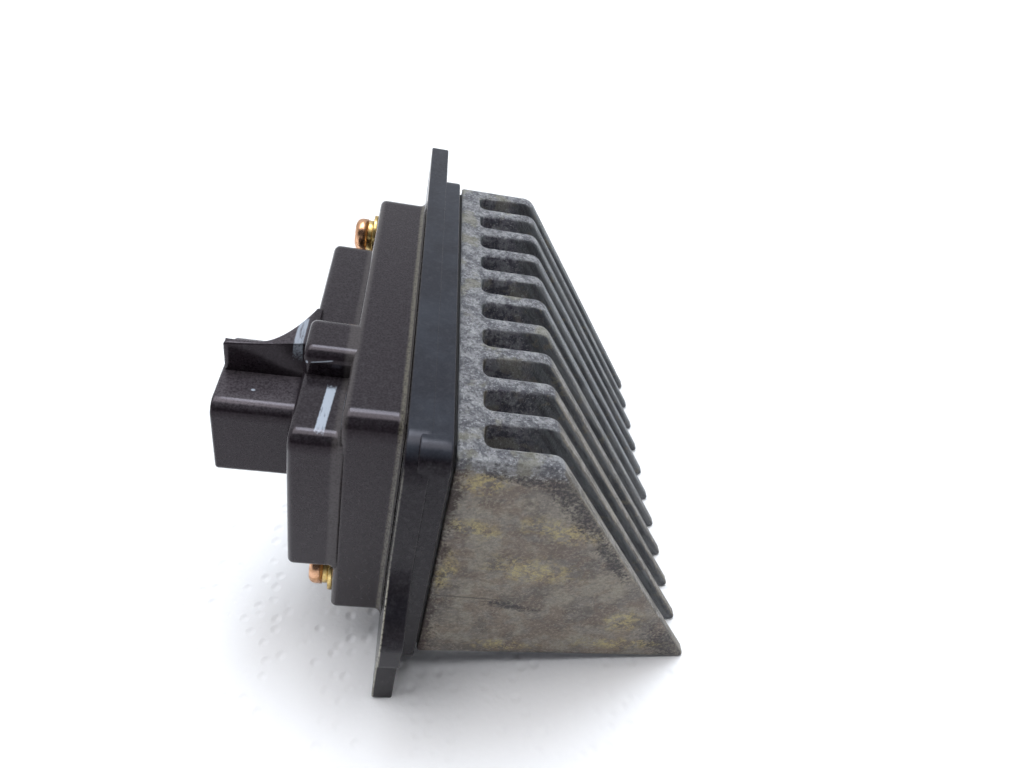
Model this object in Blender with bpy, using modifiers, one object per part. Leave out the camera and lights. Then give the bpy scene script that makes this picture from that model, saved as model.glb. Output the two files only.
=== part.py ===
"""Blower motor resistor: a finned die-cast heatsink, a mounting flange plate and a
stepped moulded housing with a side connector, held together by two brass screws.

X runs along the screws: the fins point to +X, the connector to -X.
Y runs along the row of fins. Z runs up the flange.
X = 0 is the face of the flange plate that seats on the air duct.
Y = 0 and Z = 0 are the middle of the row of fins, until the last step moves the
origin to the seat of the top ear. All sizes are in metres.
"""
import math

import bmesh
import bpy
from mathutils import Matrix, Vector

MM = 0.001

# Heatsink casting
FIN_COUNT = 11
FIN_THICK_TIP = 2.5 * MM
FIN_THICK_ROOT = 3.1 * MM
CAST_OVER_LENGTH = 12.5 * MM
CAST_OVER_HEIGHT = 0.9 * MM
FIN_REACH_TOP = 15.9 * MM
FIN_REACH_BOTTOM = 53.7 * MM
BASE_THICK = 4.2 * MM
CAST_DRAFT = 4.05 * MM
CAST_CORNER = 3.0 * MM
FIN_TIP_CORNER = 0.6 * MM
GROOVE_CORNER = 1.4 * MM
FIN_EDGE_ROUND = 0.9 * MM
PEDESTAL_WIDTH = 36.0 * MM
PEDESTAL_HEIGHT = 34.0 * MM
PEDESTAL_RISE = 4.6 * MM
SCREW_BOSS_DEPTH = 4.0 * MM
SCREW_BOSS_HEIGHT = 10.0 * MM

# Flange plate with its rim, two ears and lower tongue
FLANGE_THICK = 3.9 * MM
FLANGE_MARGIN_Y = 2.7 * MM
FLANGE_MARGIN_TOP = 2.25 * MM
FLANGE_MARGIN_LOW = 0.9 * MM
FLANGE_CORNER = 6.0 * MM
RIM_THICK = 3.0 * MM
RIM_SETBACK_NEAR = 0.4 * MM
RIM_SETBACK_FAR = 2.2 * MM
RIM_CORNER = 4.0 * MM
TOP_EAR_REACH = 11.7 * MM
TOP_EAR_HEIGHT = 14.0 * MM
SIDE_EAR_REACH = 7.6 * MM
SIDE_EAR_HEIGHT = 5.4 * MM
SIDE_EAR_CENTRE_Z = -14.6 * MM
EAR_SWEEP = 13.6 * MM
EAR_HOLE_RADIUS = 2.3 * MM
TONGUE_WIDTH = 20.0 * MM
TONGUE_DROP = 6.5 * MM
TONGUE_OUTSET = 3.4 * MM
WINDOW_CLEARANCE = 1.2 * MM
WINDOW_CORNER = 2.0 * MM
PLATE_EDGE_ROUND = 0.35 * MM

# Gasket between rim and casting
GASKET_THICK = 0.5 * MM
GASKET_INSET = 0.4 * MM
GASKET_CLEARANCE = 1.4 * MM

# Stepped housing
WALL = 2.2 * MM
MAIN_LENGTH = 70.6 * MM
MAIN_CENTRE_Y = -0.6 * MM
MAIN_HEIGHT = 51.2 * MM
MAIN_CENTRE_Z = -0.4 * MM
MAIN_DEPTH = 9.7 * MM
MAIN_CORNER = 3.8 * MM
LOW_CORNER = 1.4 * MM
STEP_SCREW_CLEARANCE = 2.8 * MM
STEP_TOP_DROP = 4.8 * MM
STEP_BOTTOM_RISE = 13.2 * MM
STEP_DEPTH = 8.0 * MM
STEP_CORNER = 3.0 * MM
EDGE_ROUND = 1.2 * MM
FOOT_FLARE = 1.4 * MM
STEP_FLARE = 1.0 * MM
BOSS_OFFSET_Y = 15.0 * MM
BOSS_LENGTH = 10.4 * MM
BOSS_CORNER = 2.6 * MM
BOSS_SINK = 6.0 * MM

# Connector shroud on the end of the housing
SOCKET_OFFSET_Y = 10.2 * MM
SOCKET_LENGTH = 19.6 * MM
SOCKET_HEIGHT = 16.0 * MM
SOCKET_TOP_DROP = 5.0 * MM
SOCKET_REACH = 14.0 * MM
SOCKET_CORNER = 2.8 * MM
SOCKET_WALL = 1.9 * MM
LOCK_RISE = 6.0 * MM
LOCK_WALL = 1.5 * MM
LOCK_SWEEP = 11.2 * MM
LOCK_SWEEP_SHARE = 0.62

# Screws and washers
SCREW_RADIUS = 2.0 * MM
SCREW_HEAD_RADIUS = 3.5 * MM
SCREW_HEAD_HEIGHT = 2.6 * MM
HEAD_ROUND_SHARE = 0.55
RECESS_ARM_SHARE = 0.55
RECESS_SLOT_SHARE = 0.11
RECESS_DEPTH_SHARE = 0.5
SCREW_INSET_Y = 6.2 * MM
TOP_SCREW_DROP = 7.2 * MM
LOW_SCREW_RISE = 5.0 * MM
COLUMN_RADIUS = 4.4 * MM
SPRING_WASHER_THICK = 1.0 * MM
SPRING_WASHER_RADIUS = 3.3 * MM
SPRING_WASHER_SPLIT = 0.6 * MM
FLAT_WASHER_THICK = 0.8 * MM
FLAT_WASHER_RADIUS = 4.5 * MM
THREAD_ENGAGEMENT = 6.0 * MM

# Electrical parts inside
BLADE_COUNT = 4
BLADE_PITCH = 3.8 * MM
BLADE_WIDTH = 2.2 * MM
BLADE_THICK = 0.8 * MM
BLADE_SHORT_OF_MOUTH = 5.6 * MM
BLADE_EDGE = 0.16 * MM
BOARD_THICK = 1.6 * MM
BOARD_CLEARANCE = 0.8 * MM
BOARD_STAND_OFF = 3.6 * MM
POST_RADIUS = 2.0 * MM
DEVICE_WIDTH = 15.6 * MM
DEVICE_HEIGHT = 19.0 * MM
DEVICE_THICK = 4.6 * MM
DEVICE_SPACING = 19.0 * MM
DEVICE_DROP = 6.2 * MM
DEVICE_EDGE = 0.5 * MM
PAD_THICK = 0.5 * MM
PAD_MARGIN = 0.6 * MM
LEAD_SIZE = 1.0 * MM
LEAD_PITCH = 4.2 * MM
LEAD_REACH = 1.6 * MM
DEVICE_SCREW_RADIUS = 1.5 * MM
DEVICE_SCREW_HEAD_RADIUS = 2.9 * MM
DEVICE_SCREW_HEAD_HEIGHT = 1.8 * MM
CAPACITOR_RADIUS = 3.15 * MM
CAPACITOR_HEIGHT = 7.0 * MM
CAPACITOR_EDGE = 0.4 * MM
FUSE_RADIUS = 1.6 * MM
FUSE_LENGTH = 9.0 * MM
FUSE_DROP = 4.0 * MM
FUSE_EDGE = 0.3 * MM

# Clearances
SEAT_GAP = 0.1 * MM
FIT_GAP = 0.35 * MM
CUT_MARGIN = 2.0 * MM

# Derived places
HEATSINK_LENGTH = MAIN_LENGTH + CAST_OVER_LENGTH
HEATSINK_HEIGHT = MAIN_HEIGHT + CAST_OVER_HEIGHT
FIN_PITCH = (HEATSINK_LENGTH - FIN_THICK_ROOT) / (FIN_COUNT - 1)
CAST_FACE_X = RIM_THICK + GASKET_THICK + 2 * SEAT_GAP
FIN_TIP_X = CAST_FACE_X + FIN_REACH_BOTTOM
FLANGE_NEAR_Y = -HEATSINK_LENGTH / 2 - FLANGE_MARGIN_Y
FLANGE_FAR_Y = HEATSINK_LENGTH / 2 + FLANGE_MARGIN_Y
CAST_LOW_Z = -HEATSINK_HEIGHT / 2 - CAST_DRAFT
FLANGE_TOP_Z = HEATSINK_HEIGHT / 2 + FLANGE_MARGIN_TOP
FLANGE_LOW_Z = CAST_LOW_Z - FLANGE_MARGIN_LOW
TONGUE_NEAR_Y = FLANGE_NEAR_Y - TONGUE_OUTSET
TONGUE_FAR_Y = TONGUE_NEAR_Y + TONGUE_WIDTH
TONGUE_LOW_Z = FLANGE_LOW_Z - TONGUE_DROP
PLATE_BACK_X = -FLANGE_THICK
HOUSING_FOOT_X = PLATE_BACK_X - SEAT_GAP
MAIN_END_X = HOUSING_FOOT_X - MAIN_DEPTH
STEP_END_X = MAIN_END_X - STEP_DEPTH
MOUTH_X = STEP_END_X - SOCKET_REACH
MAIN_NEAR_Y = MAIN_CENTRE_Y - MAIN_LENGTH / 2
MAIN_FAR_Y = MAIN_CENTRE_Y + MAIN_LENGTH / 2
MAIN_TOP_Z = MAIN_CENTRE_Z + MAIN_HEIGHT / 2
MAIN_LOW_Z = MAIN_CENTRE_Z - MAIN_HEIGHT / 2
STEP_TOP_Z = MAIN_TOP_Z - STEP_TOP_DROP
STEP_LOW_Z = MAIN_LOW_Z + STEP_BOTTOM_RISE
BOSS_NEAR_Y = MAIN_NEAR_Y + BOSS_OFFSET_Y
BOSS_FAR_Y = BOSS_NEAR_Y + BOSS_LENGTH
SOCKET_NEAR_Y = MAIN_NEAR_Y + SOCKET_OFFSET_Y
SOCKET_FAR_Y = SOCKET_NEAR_Y + SOCKET_LENGTH
SOCKET_TOP_Z = STEP_TOP_Z - SOCKET_TOP_DROP
SOCKET_LOW_Z = SOCKET_TOP_Z - SOCKET_HEIGHT
SOCKET_MID_Y = (SOCKET_NEAR_Y + SOCKET_FAR_Y) / 2
SOCKET_MID_Z = (SOCKET_TOP_Z + SOCKET_LOW_Z) / 2
SOCKET_BACK_X = STEP_END_X - CUT_MARGIN / 4
LOCK_NEAR_Y = SOCKET_MID_Y - LOCK_WALL / 2
TOP_SCREW = (MAIN_FAR_Y - SCREW_INSET_Y, MAIN_TOP_Z - TOP_SCREW_DROP)
LOW_SCREW = (MAIN_NEAR_Y + SCREW_INSET_Y, MAIN_LOW_Z + LOW_SCREW_RISE)
STEP_FAR_Y = TOP_SCREW[0] - FLAT_WASHER_RADIUS - STEP_SCREW_CLEARANCE
PEDESTAL_X = CAST_FACE_X - PEDESTAL_RISE
PAD_BACK_X = PEDESTAL_X - SEAT_GAP
DEVICE_FACE_X = PAD_BACK_X - PAD_THICK - SEAT_GAP
DEVICE_BACK_X = DEVICE_FACE_X - DEVICE_THICK
BOARD_BACK_X = STEP_END_X + WALL + BOARD_STAND_OFF
BOARD_FRONT_X = BOARD_BACK_X + BOARD_THICK
BOARD_NEAR_Y = MAIN_NEAR_Y + WALL + BOARD_CLEARANCE
BOARD_FAR_Y = STEP_FAR_Y - WALL - BOARD_CLEARANCE
BOARD_LOW_Z = STEP_LOW_Z + WALL + BOARD_CLEARANCE
BOARD_TOP_Z = STEP_TOP_Z - WALL - BOARD_CLEARANCE
BLADE_TIP_X = MOUTH_X + BLADE_SHORT_OF_MOUTH
BLADE_ROOT_X = BOARD_FRONT_X + BOARD_THICK
DEVICE_LOW_Z = -DEVICE_HEIGHT / 2 - DEVICE_DROP
DEVICE_TOP_Z = DEVICE_LOW_Z + DEVICE_HEIGHT

# Smoothness and welding
ARC_STEPS = 6
CAST_ARC_STEPS = 4
PLATE_ARC_STEPS = 8
SWEEP_STEPS = 10
ROUND_STEPS = 32
FUSE_STEPS = 20
HEAD_ARC_STEPS = 4
EDGE_STEPS = 2
WELD = 0.00001
FLAT_ANGLE = 0.5
BEND_LIMIT = 40
PLATE_BEND_LIMIT = 50


def empty_scene():
    """Remove every object that the start-up file brings."""
    for item in list(bpy.data.objects):
        bpy.data.objects.remove(item, do_unlink=True)


def make_material(name, colour, metallic, roughness):
    """Make a plain Principled material."""
    material = bpy.data.materials.new(name)
    material.use_nodes = True
    shader = material.node_tree.nodes["Principled BSDF"]
    shader.inputs["Base Color"].default_value = (*colour, 1.0)
    shader.inputs["Metallic"].default_value = metallic
    shader.inputs["Roughness"].default_value = roughness
    return material


def add_object(name, mesh_data, collection, material=None):
    """Finish a bmesh as an object with outward faces in the given collection."""
    bmesh.ops.recalc_face_normals(mesh_data, faces=mesh_data.faces)
    mesh = bpy.data.meshes.new(name)
    mesh_data.to_mesh(mesh)
    mesh_data.free()
    item = bpy.data.objects.new(name, mesh)
    collection.objects.link(item)
    if material:
        mesh.materials.append(material)
    return item


def arc(centre, radius, start, stop, steps):
    """Points of a circular arc in a plane, from the start to the stop angle."""
    points = []
    for index in range(steps + 1):
        angle = start + (stop - start) * index / steps
        points.append((centre[0] + radius * math.cos(angle), centre[1] + radius * math.sin(angle)))
    return points


def box_outline(low, high, radius, low_radius=None):
    """Rounded rectangle between two opposite corners; its lower corners may be sharper."""
    (u0, v0), (u1, v1) = low, high
    quarter = math.pi / 2
    foot = radius if low_radius is None else low_radius
    return (arc((u1 - radius, v1 - radius), radius, 0, quarter, ARC_STEPS)
            + arc((u0 + radius, v1 - radius), radius, quarter, 2 * quarter, ARC_STEPS)
            + arc((u0 + foot, v0 + foot), foot, 2 * quarter, 3 * quarter, ARC_STEPS)
            + arc((u1 - foot, v0 + foot), foot, 3 * quarter, 4 * quarter, ARC_STEPS))


def rounded_corners(corners, radii, steps=ARC_STEPS):
    """Replace each corner of a polygon by an arc that touches both of its sides."""
    points = []
    count = len(corners)
    for index in range(count):
        here = Vector(corners[index])
        back = (Vector(corners[index - 1]) - here).normalized()
        ahead = (Vector(corners[(index + 1) % count]) - here).normalized()
        radius = radii[index]
        if radius <= 0:
            points.append(tuple(here))
            continue
        half = back.angle(ahead) / 2
        centre = here + (back + ahead).normalized() * (radius / math.sin(half))
        first = here + back * (radius / math.tan(half)) - centre
        last = here + ahead * (radius / math.tan(half)) - centre
        sweep = first.angle_signed(last)
        for step in range(steps + 1):
            turn = -sweep * step / steps
            cosine, sine = math.cos(turn), math.sin(turn)
            points.append((centre.x + first.x * cosine - first.y * sine,
                           centre.y + first.x * sine + first.y * cosine))
    return points


def loft(rings):
    """Skin a list of rings with equal point counts and close both ends."""
    data = bmesh.new()
    layers = [[data.verts.new(point) for point in ring] for ring in rings]
    for lower, upper in zip(layers, layers[1:]):
        for index in range(len(lower)):
            after = (index + 1) % len(lower)
            data.faces.new((lower[index], lower[after], upper[after], upper[index]))
    data.faces.new(layers[0])
    data.faces.new(layers[-1])
    return data


def prism(outline, start, stop, place):
    """Extrude a flat curve outline from start to stop; place maps (u, v, w) to the world."""
    curve = bpy.data.curves.new("Outline", "CURVE")
    curve.dimensions = "2D"
    curve.fill_mode = "BOTH"
    curve.extrude = abs(stop - start) / 2
    curve.render_resolution_u = 0
    spline = curve.splines.new("POLY")
    spline.points.add(len(outline) - 1)
    for point, (u, v) in zip(spline.points, outline):
        point.co = (u, v, 0.0, 1.0)
    spline.use_cyclic_u = True
    sketch = bpy.data.objects.new("Outline", curve)
    bpy.context.scene.collection.objects.link(sketch)
    bpy.context.view_layer.update()
    graph = bpy.context.evaluated_depsgraph_get()
    mesh = bpy.data.meshes.new_from_object(sketch.evaluated_get(graph))
    bpy.data.objects.remove(sketch, do_unlink=True)
    data = bmesh.new()
    data.from_mesh(mesh)
    bpy.data.meshes.remove(mesh)
    bmesh.ops.remove_doubles(data, verts=data.verts, dist=WELD)
    bmesh.ops.dissolve_limit(data, angle_limit=math.radians(FLAT_ANGLE), verts=data.verts,
                             edges=data.edges)
    middle = (start + stop) / 2
    for vertex in data.verts:
        vertex.co = place(vertex.co.x, vertex.co.y, vertex.co.z + middle)
    data.normal_update()
    return data


def prism_x(outline, x0, x1):
    """Prism along X over an outline given as (y, z) points."""
    return prism(outline, x0, x1, lambda u, v, w: (w, u, v))


def prism_y(outline, y0, y1):
    """Prism along Y over an outline given as (x, z) points."""
    return prism(outline, y0, y1, lambda u, v, w: (u, w, v))


def prism_z(outline, z0, z1):
    """Prism along Z over an outline given as (x, y) points."""
    return prism(outline, z0, z1, lambda u, v, w: (u, v, w))


def block(x0, x1, y0, y1, z0, z1):
    """Plain box between three pairs of planes, from the cube primitive."""
    data = bmesh.new()
    bmesh.ops.create_cube(data, size=1.0)
    bmesh.ops.scale(data, verts=data.verts, vec=(x1 - x0, y1 - y0, z1 - z0))
    bmesh.ops.translate(data, verts=data.verts, vec=((x0 + x1) / 2, (y0 + y1) / 2, (z0 + z1) / 2))
    return data


def disc_x(centre, radius, x0, x1, steps=ROUND_STEPS):
    """Round bar along X about a (y, z) centre, from the cylinder primitive."""
    data = bmesh.new()
    bmesh.ops.create_cone(data, cap_ends=True, segments=steps, radius1=radius, radius2=radius,
                          depth=abs(x1 - x0), matrix=Matrix.Rotation(math.pi / 2, 4, "Y"))
    bmesh.ops.translate(data, verts=data.verts, vec=((x0 + x1) / 2, *centre))
    return data


def moulded_box(low, high, corner, foot_x, end_x, flare, edge):
    """Box along X with rounded corners, a flared concave foot and a rounded end edge."""
    away = -1 if end_x < foot_x else 1
    stations = []
    if flare > 0:
        for step in range(ARC_STEPS + 1):
            angle = math.pi / 2 * step / ARC_STEPS
            stations.append((foot_x + away * flare * (1 - math.cos(angle)),
                             flare * (1 - math.sin(angle))))
    else:
        stations.append((foot_x, 0.0))
    for step in range(ARC_STEPS + 1):
        angle = math.pi / 2 * step / ARC_STEPS
        stations.append((end_x - away * edge * (1 - math.sin(angle)),
                         -edge * (1 - math.cos(angle))))
    rings = []
    for x, grow in stations:
        outline = box_outline((low[0] - grow, low[1] - grow), (high[0] + grow, high[1] + grow),
                              corner + grow, LOW_CORNER + grow)
        rings.append([(x, y, z) for y, z in outline])
    return loft(rings)


def combine(target, other, operation):
    """Join or cut one solid with another through an exact Boolean."""
    step = target.modifiers.new(operation.title() + "_" + other.name, "BOOLEAN")
    step.operation = operation
    step.solver = "EXACT"
    step.object = other


def tool(name, data):
    """Keep a helper solid out of the render, in the collection of helpers."""
    item = add_object(name, data, helpers)
    item.hide_render = True
    item.display_type = "WIRE"
    return item


def cut(target, name, data):
    combine(target, tool(name, data), "DIFFERENCE")


def join(target, name, data):
    combine(target, tool(name, data), "UNION")


def soften(target, width, limit=BEND_LIMIT):
    """Round the sharp edges of a finished solid."""
    step = target.modifiers.new("Soften", "BEVEL")
    step.width = width
    step.segments = EDGE_STEPS
    step.limit_method = "ANGLE"
    step.angle_limit = math.radians(limit)
    step.use_clamp_overlap = True
    step.harden_normals = False


empty_scene()
product = bpy.data.collections.new("BlowerMotorResistor")
helpers = bpy.data.collections.new("Helpers")
bpy.context.scene.collection.children.link(product)
bpy.context.scene.collection.children.link(helpers)

cast_aluminium = make_material("CastAluminium", (0.46, 0.45, 0.43), 1.0, 0.55)
black_plastic = make_material("BlackPlastic", (0.030, 0.030, 0.032), 0.0, 0.42)
flange_plastic = make_material("FlangePlastic", (0.036, 0.037, 0.040), 0.0, 0.45)
rubber = make_material("Rubber", (0.012, 0.012, 0.012), 0.0, 0.8)
brass = make_material("Brass", (0.62, 0.42, 0.18), 1.0, 0.35)
plated_steel = make_material("PlatedSteel", (0.55, 0.50, 0.38), 1.0, 0.35)
tinned_copper = make_material("TinnedCopper", (0.68, 0.66, 0.62), 1.0, 0.30)
board_green = make_material("BoardGreen", (0.03, 0.13, 0.06), 0.0, 0.45)
device_epoxy = make_material("DeviceEpoxy", (0.02, 0.02, 0.02), 0.0, 0.55)
silicone = make_material("Silicone", (0.45, 0.46, 0.48), 0.0, 0.7)


# Heatsink: one casting, an extruded side profile cut by ten tapered grooves
half_length = HEATSINK_LENGTH / 2
half_height = HEATSINK_HEIGHT / 2
profile = rounded_corners(
    [(CAST_FACE_X, CAST_LOW_Z), (FIN_TIP_X, -half_height),
     (CAST_FACE_X + FIN_REACH_TOP, half_height), (CAST_FACE_X, half_height)],
    [0, FIN_TIP_CORNER, CAST_CORNER, 0], steps=CAST_ARC_STEPS)
heatsink = add_object("heatsink", prism_y(profile, -half_length, half_length), product,
                      cast_aluminium)
join(heatsink, "PedestalTool",
     block(PEDESTAL_X, CAST_FACE_X + BASE_THICK / 2, -PEDESTAL_WIDTH / 2, PEDESTAL_WIDTH / 2,
           -PEDESTAL_HEIGHT / 2, PEDESTAL_HEIGHT / 2))
root_x = CAST_FACE_X + BASE_THICK
mouth_x = FIN_TIP_X + CUT_MARGIN
root_half = (FIN_PITCH - FIN_THICK_ROOT) / 2
mouth_half = (FIN_PITCH - FIN_THICK_TIP) / 2
groove_y = -half_length + FIN_THICK_ROOT / 2 + FIN_PITCH / 2
groove = rounded_corners(
    [(root_x, groove_y - root_half), (mouth_x, groove_y - mouth_half),
     (mouth_x, groove_y + mouth_half), (root_x, groove_y + root_half)],
    [GROOVE_CORNER, 0, 0, GROOVE_CORNER], steps=CAST_ARC_STEPS)
groove_tool = tool("GrooveTool", prism_z(groove, CAST_LOW_Z - CUT_MARGIN,
                                         half_height + CUT_MARGIN))
row = groove_tool.modifiers.new("Row", "ARRAY")
row.count = FIN_COUNT - 1
row.use_relative_offset = False
row.use_constant_offset = True
row.constant_offset_displace = (0.0, FIN_PITCH, 0.0)
combine(heatsink, groove_tool, "DIFFERENCE")
for label, (y, z) in (("Top", TOP_SCREW), ("Low", LOW_SCREW)):
    groove_middle = (math.floor(y / FIN_PITCH) + 1 / 2) * FIN_PITCH
    join(heatsink, label + "BossTool",
         block(root_x - BASE_THICK / 2, root_x + SCREW_BOSS_DEPTH,
               groove_middle - FIN_PITCH / 2, groove_middle + FIN_PITCH / 2,
               max(z - SCREW_BOSS_HEIGHT / 2, -half_height + 2 * FIN_EDGE_ROUND),
               min(z + SCREW_BOSS_HEIGHT / 2, half_height - 2 * FIN_EDGE_ROUND)))
soften(heatsink, FIN_EDGE_ROUND)
for label, (y, z) in (("Top", TOP_SCREW), ("Low", LOW_SCREW)):
    cut(heatsink, label + "ThreadTool",
        disc_x((y, z), SCREW_RADIUS + FIT_GAP, CAST_FACE_X - CUT_MARGIN,
               CAST_FACE_X + THREAD_ENGAGEMENT + FIT_GAP))
for label, side in (("Near", -1), ("Far", 1)):
    cut(heatsink, label + "DeviceThreadTool",
        disc_x((side * DEVICE_SPACING / 2, DEVICE_LOW_Z + DEVICE_HEIGHT / 3),
               DEVICE_SCREW_RADIUS + FIT_GAP, PEDESTAL_X - CUT_MARGIN,
               PEDESTAL_X + THREAD_ENGAGEMENT + FIT_GAP))


# Flange plate: one moulding with rim, two ears, tongue and a window
def sweep_curve(start, stop, steps=SWEEP_STEPS):
    """Smooth S curve between two points, level with Z at both ends."""
    (y0, z0), (y1, z1) = start, stop
    points = []
    for step in range(steps + 1):
        t = step / steps
        ease = t * t * (3 - 2 * t)
        points.append((y0 + (y1 - y0) * ease, z0 + (z1 - z0) * t))
    return points


side_ear_y = FLANGE_NEAR_Y - SIDE_EAR_REACH
top_ear_y = FLANGE_FAR_Y + TOP_EAR_REACH
side_ear_low = SIDE_EAR_CENTRE_Z - SIDE_EAR_HEIGHT / 2
side_ear_top = SIDE_EAR_CENTRE_Z + SIDE_EAR_HEIGHT / 2
top_ear_low = FLANGE_TOP_Z - TOP_EAR_HEIGHT
near_top = arc((FLANGE_NEAR_Y + FLANGE_CORNER, FLANGE_TOP_Z - FLANGE_CORNER), FLANGE_CORNER,
               math.pi / 2, math.pi, PLATE_ARC_STEPS)
flange_outline = (
    [(top_ear_y, FLANGE_TOP_Z)] + near_top
    + sweep_curve((side_ear_y, side_ear_top), (FLANGE_NEAR_Y, side_ear_top + EAR_SWEEP))[::-1]
    + [(side_ear_y, side_ear_low), (TONGUE_NEAR_Y, side_ear_low),
       (TONGUE_NEAR_Y, TONGUE_LOW_Z), (TONGUE_FAR_Y, TONGUE_LOW_Z),
       (TONGUE_FAR_Y, FLANGE_LOW_Z)]
    + arc((FLANGE_FAR_Y - FLANGE_CORNER, FLANGE_LOW_Z + FLANGE_CORNER), FLANGE_CORNER,
          -math.pi / 2, 0, PLATE_ARC_STEPS)
    + sweep_curve((FLANGE_FAR_Y, top_ear_low - EAR_SWEEP), (top_ear_y, top_ear_low)))
flange_plate = add_object("flange_plate", prism_x(flange_outline, PLATE_BACK_X, 0.0), product,
                          flange_plastic)
rim_outline = box_outline((FLANGE_NEAR_Y + RIM_SETBACK_NEAR, FLANGE_LOW_Z + SEAT_GAP),
                          (FLANGE_FAR_Y - RIM_SETBACK_FAR, FLANGE_TOP_Z - SEAT_GAP),
                          RIM_CORNER)
join(flange_plate, "RimTool", prism_x(rim_outline, PLATE_BACK_X / 2, RIM_THICK))
window_y = PEDESTAL_WIDTH / 2 + WINDOW_CLEARANCE
window_z = PEDESTAL_HEIGHT / 2 + WINDOW_CLEARANCE
cut(flange_plate, "WindowTool",
    prism_x(box_outline((-window_y, -window_z), (window_y, window_z), WINDOW_CORNER),
            PLATE_BACK_X - CUT_MARGIN, RIM_THICK + CUT_MARGIN))
soften(flange_plate, PLATE_EDGE_ROUND, limit=PLATE_BEND_LIMIT)
for label, (y, z) in (("Top", TOP_SCREW), ("Low", LOW_SCREW)):
    cut(flange_plate, label + "ScrewHoleTool",
        disc_x((y, z), SCREW_RADIUS + FIT_GAP, PLATE_BACK_X - CUT_MARGIN,
               RIM_THICK + CUT_MARGIN))
TOP_EAR_HOLE = (FLANGE_FAR_Y + TOP_EAR_REACH / 2, FLANGE_TOP_Z - TOP_EAR_HEIGHT / 2)
SIDE_EAR_HOLE = (FLANGE_NEAR_Y - SIDE_EAR_REACH / 2, SIDE_EAR_CENTRE_Z)
for label, centre in (("Top", TOP_EAR_HOLE), ("Side", SIDE_EAR_HOLE)):
    cut(flange_plate, label + "EarHoleTool",
        disc_x(centre, EAR_HOLE_RADIUS, PLATE_BACK_X - CUT_MARGIN, CUT_MARGIN))


# Gasket: a flat rubber frame between rim and casting
gasket_outline = box_outline((-half_length + GASKET_INSET, CAST_LOW_Z + GASKET_INSET),
                             (half_length - GASKET_INSET, half_height - GASKET_INSET), CAST_CORNER)
gasket_x0 = RIM_THICK + SEAT_GAP
gasket = add_object("heatsink_gasket", prism_x(gasket_outline, gasket_x0,
                                               gasket_x0 + GASKET_THICK), product, rubber)
inner_y = PEDESTAL_WIDTH / 2 + GASKET_CLEARANCE
inner_z = PEDESTAL_HEIGHT / 2 + GASKET_CLEARANCE
cut(gasket, "GasketWindowTool",
    prism_x(box_outline((-inner_y, -inner_z), (inner_y, inner_z), CAST_CORNER / 2),
            gasket_x0 - CUT_MARGIN, gasket_x0 + CUT_MARGIN))
for label, (y, z) in (("Top", TOP_SCREW), ("Low", LOW_SCREW)):
    cut(gasket, label + "GasketHoleTool",
        disc_x((y, z), SCREW_RADIUS + FIT_GAP, gasket_x0 - CUT_MARGIN, gasket_x0 + CUT_MARGIN))


# Housing: one moulding, stepped box, raised boss, connector shroud and lock wall
housing = add_object(
    "housing_cover",
    moulded_box((MAIN_NEAR_Y, MAIN_LOW_Z), (MAIN_FAR_Y, MAIN_TOP_Z), MAIN_CORNER,
                HOUSING_FOOT_X, MAIN_END_X, FOOT_FLARE, EDGE_ROUND), product, black_plastic)
join(housing, "StepTool",
     moulded_box((MAIN_NEAR_Y + SEAT_GAP, STEP_LOW_Z), (STEP_FAR_Y, STEP_TOP_Z), STEP_CORNER,
                 MAIN_END_X + STEP_FLARE / 4, STEP_END_X, STEP_FLARE, EDGE_ROUND))
join(housing, "BossTool",
     moulded_box((BOSS_NEAR_Y, STEP_TOP_Z - BOSS_SINK), (BOSS_FAR_Y, MAIN_TOP_Z - SEAT_GAP),
                 BOSS_CORNER, MAIN_END_X + EDGE_ROUND * 2, STEP_END_X + SEAT_GAP, 0.0,
                 EDGE_ROUND))
join(housing, "ShroudTool",
     moulded_box((SOCKET_NEAR_Y, SOCKET_LOW_Z), (SOCKET_FAR_Y, SOCKET_TOP_Z), SOCKET_CORNER,
                 STEP_END_X + WALL / 2, MOUTH_X, 0.0, EDGE_ROUND / 2))
lock_outline = [(MOUTH_X + EDGE_ROUND / 2, LOCK_NEAR_Y), (STEP_END_X + WALL / 2, LOCK_NEAR_Y)]
lock_outline += [(STEP_END_X + WALL / 2, LOCK_NEAR_Y + LOCK_SWEEP + LOCK_WALL),
                 (STEP_END_X, LOCK_NEAR_Y + LOCK_SWEEP + LOCK_WALL)]
lock_span = SOCKET_REACH * LOCK_SWEEP_SHARE
for index in range(1, PLATE_ARC_STEPS + 1):
    t = index / PLATE_ARC_STEPS
    lock_outline.append((STEP_END_X - lock_span * t,
                         LOCK_NEAR_Y + LOCK_WALL + LOCK_SWEEP * (1 - t) ** 2))
lock_outline.append((MOUTH_X + EDGE_ROUND / 2, LOCK_NEAR_Y + LOCK_WALL))
join(housing, "LockTool", prism_z(lock_outline, SOCKET_TOP_Z - SOCKET_WALL / 2,
                                  SOCKET_TOP_Z + LOCK_RISE))
inside_corner = MAIN_CORNER - WALL / 2
cut(housing, "MainHollowTool",
    prism_x(box_outline((MAIN_NEAR_Y + WALL, MAIN_LOW_Z + WALL),
                        (MAIN_FAR_Y - WALL, MAIN_TOP_Z - WALL), inside_corner),
            HOUSING_FOOT_X + CUT_MARGIN, MAIN_END_X + WALL))
cut(housing, "StepHollowTool",
    prism_x(box_outline((MAIN_NEAR_Y + WALL + SEAT_GAP, STEP_LOW_Z + WALL),
                        (STEP_FAR_Y - WALL, STEP_TOP_Z - WALL), STEP_CORNER - WALL / 2),
            MAIN_END_X + WALL + CUT_MARGIN, STEP_END_X + WALL))
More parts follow.
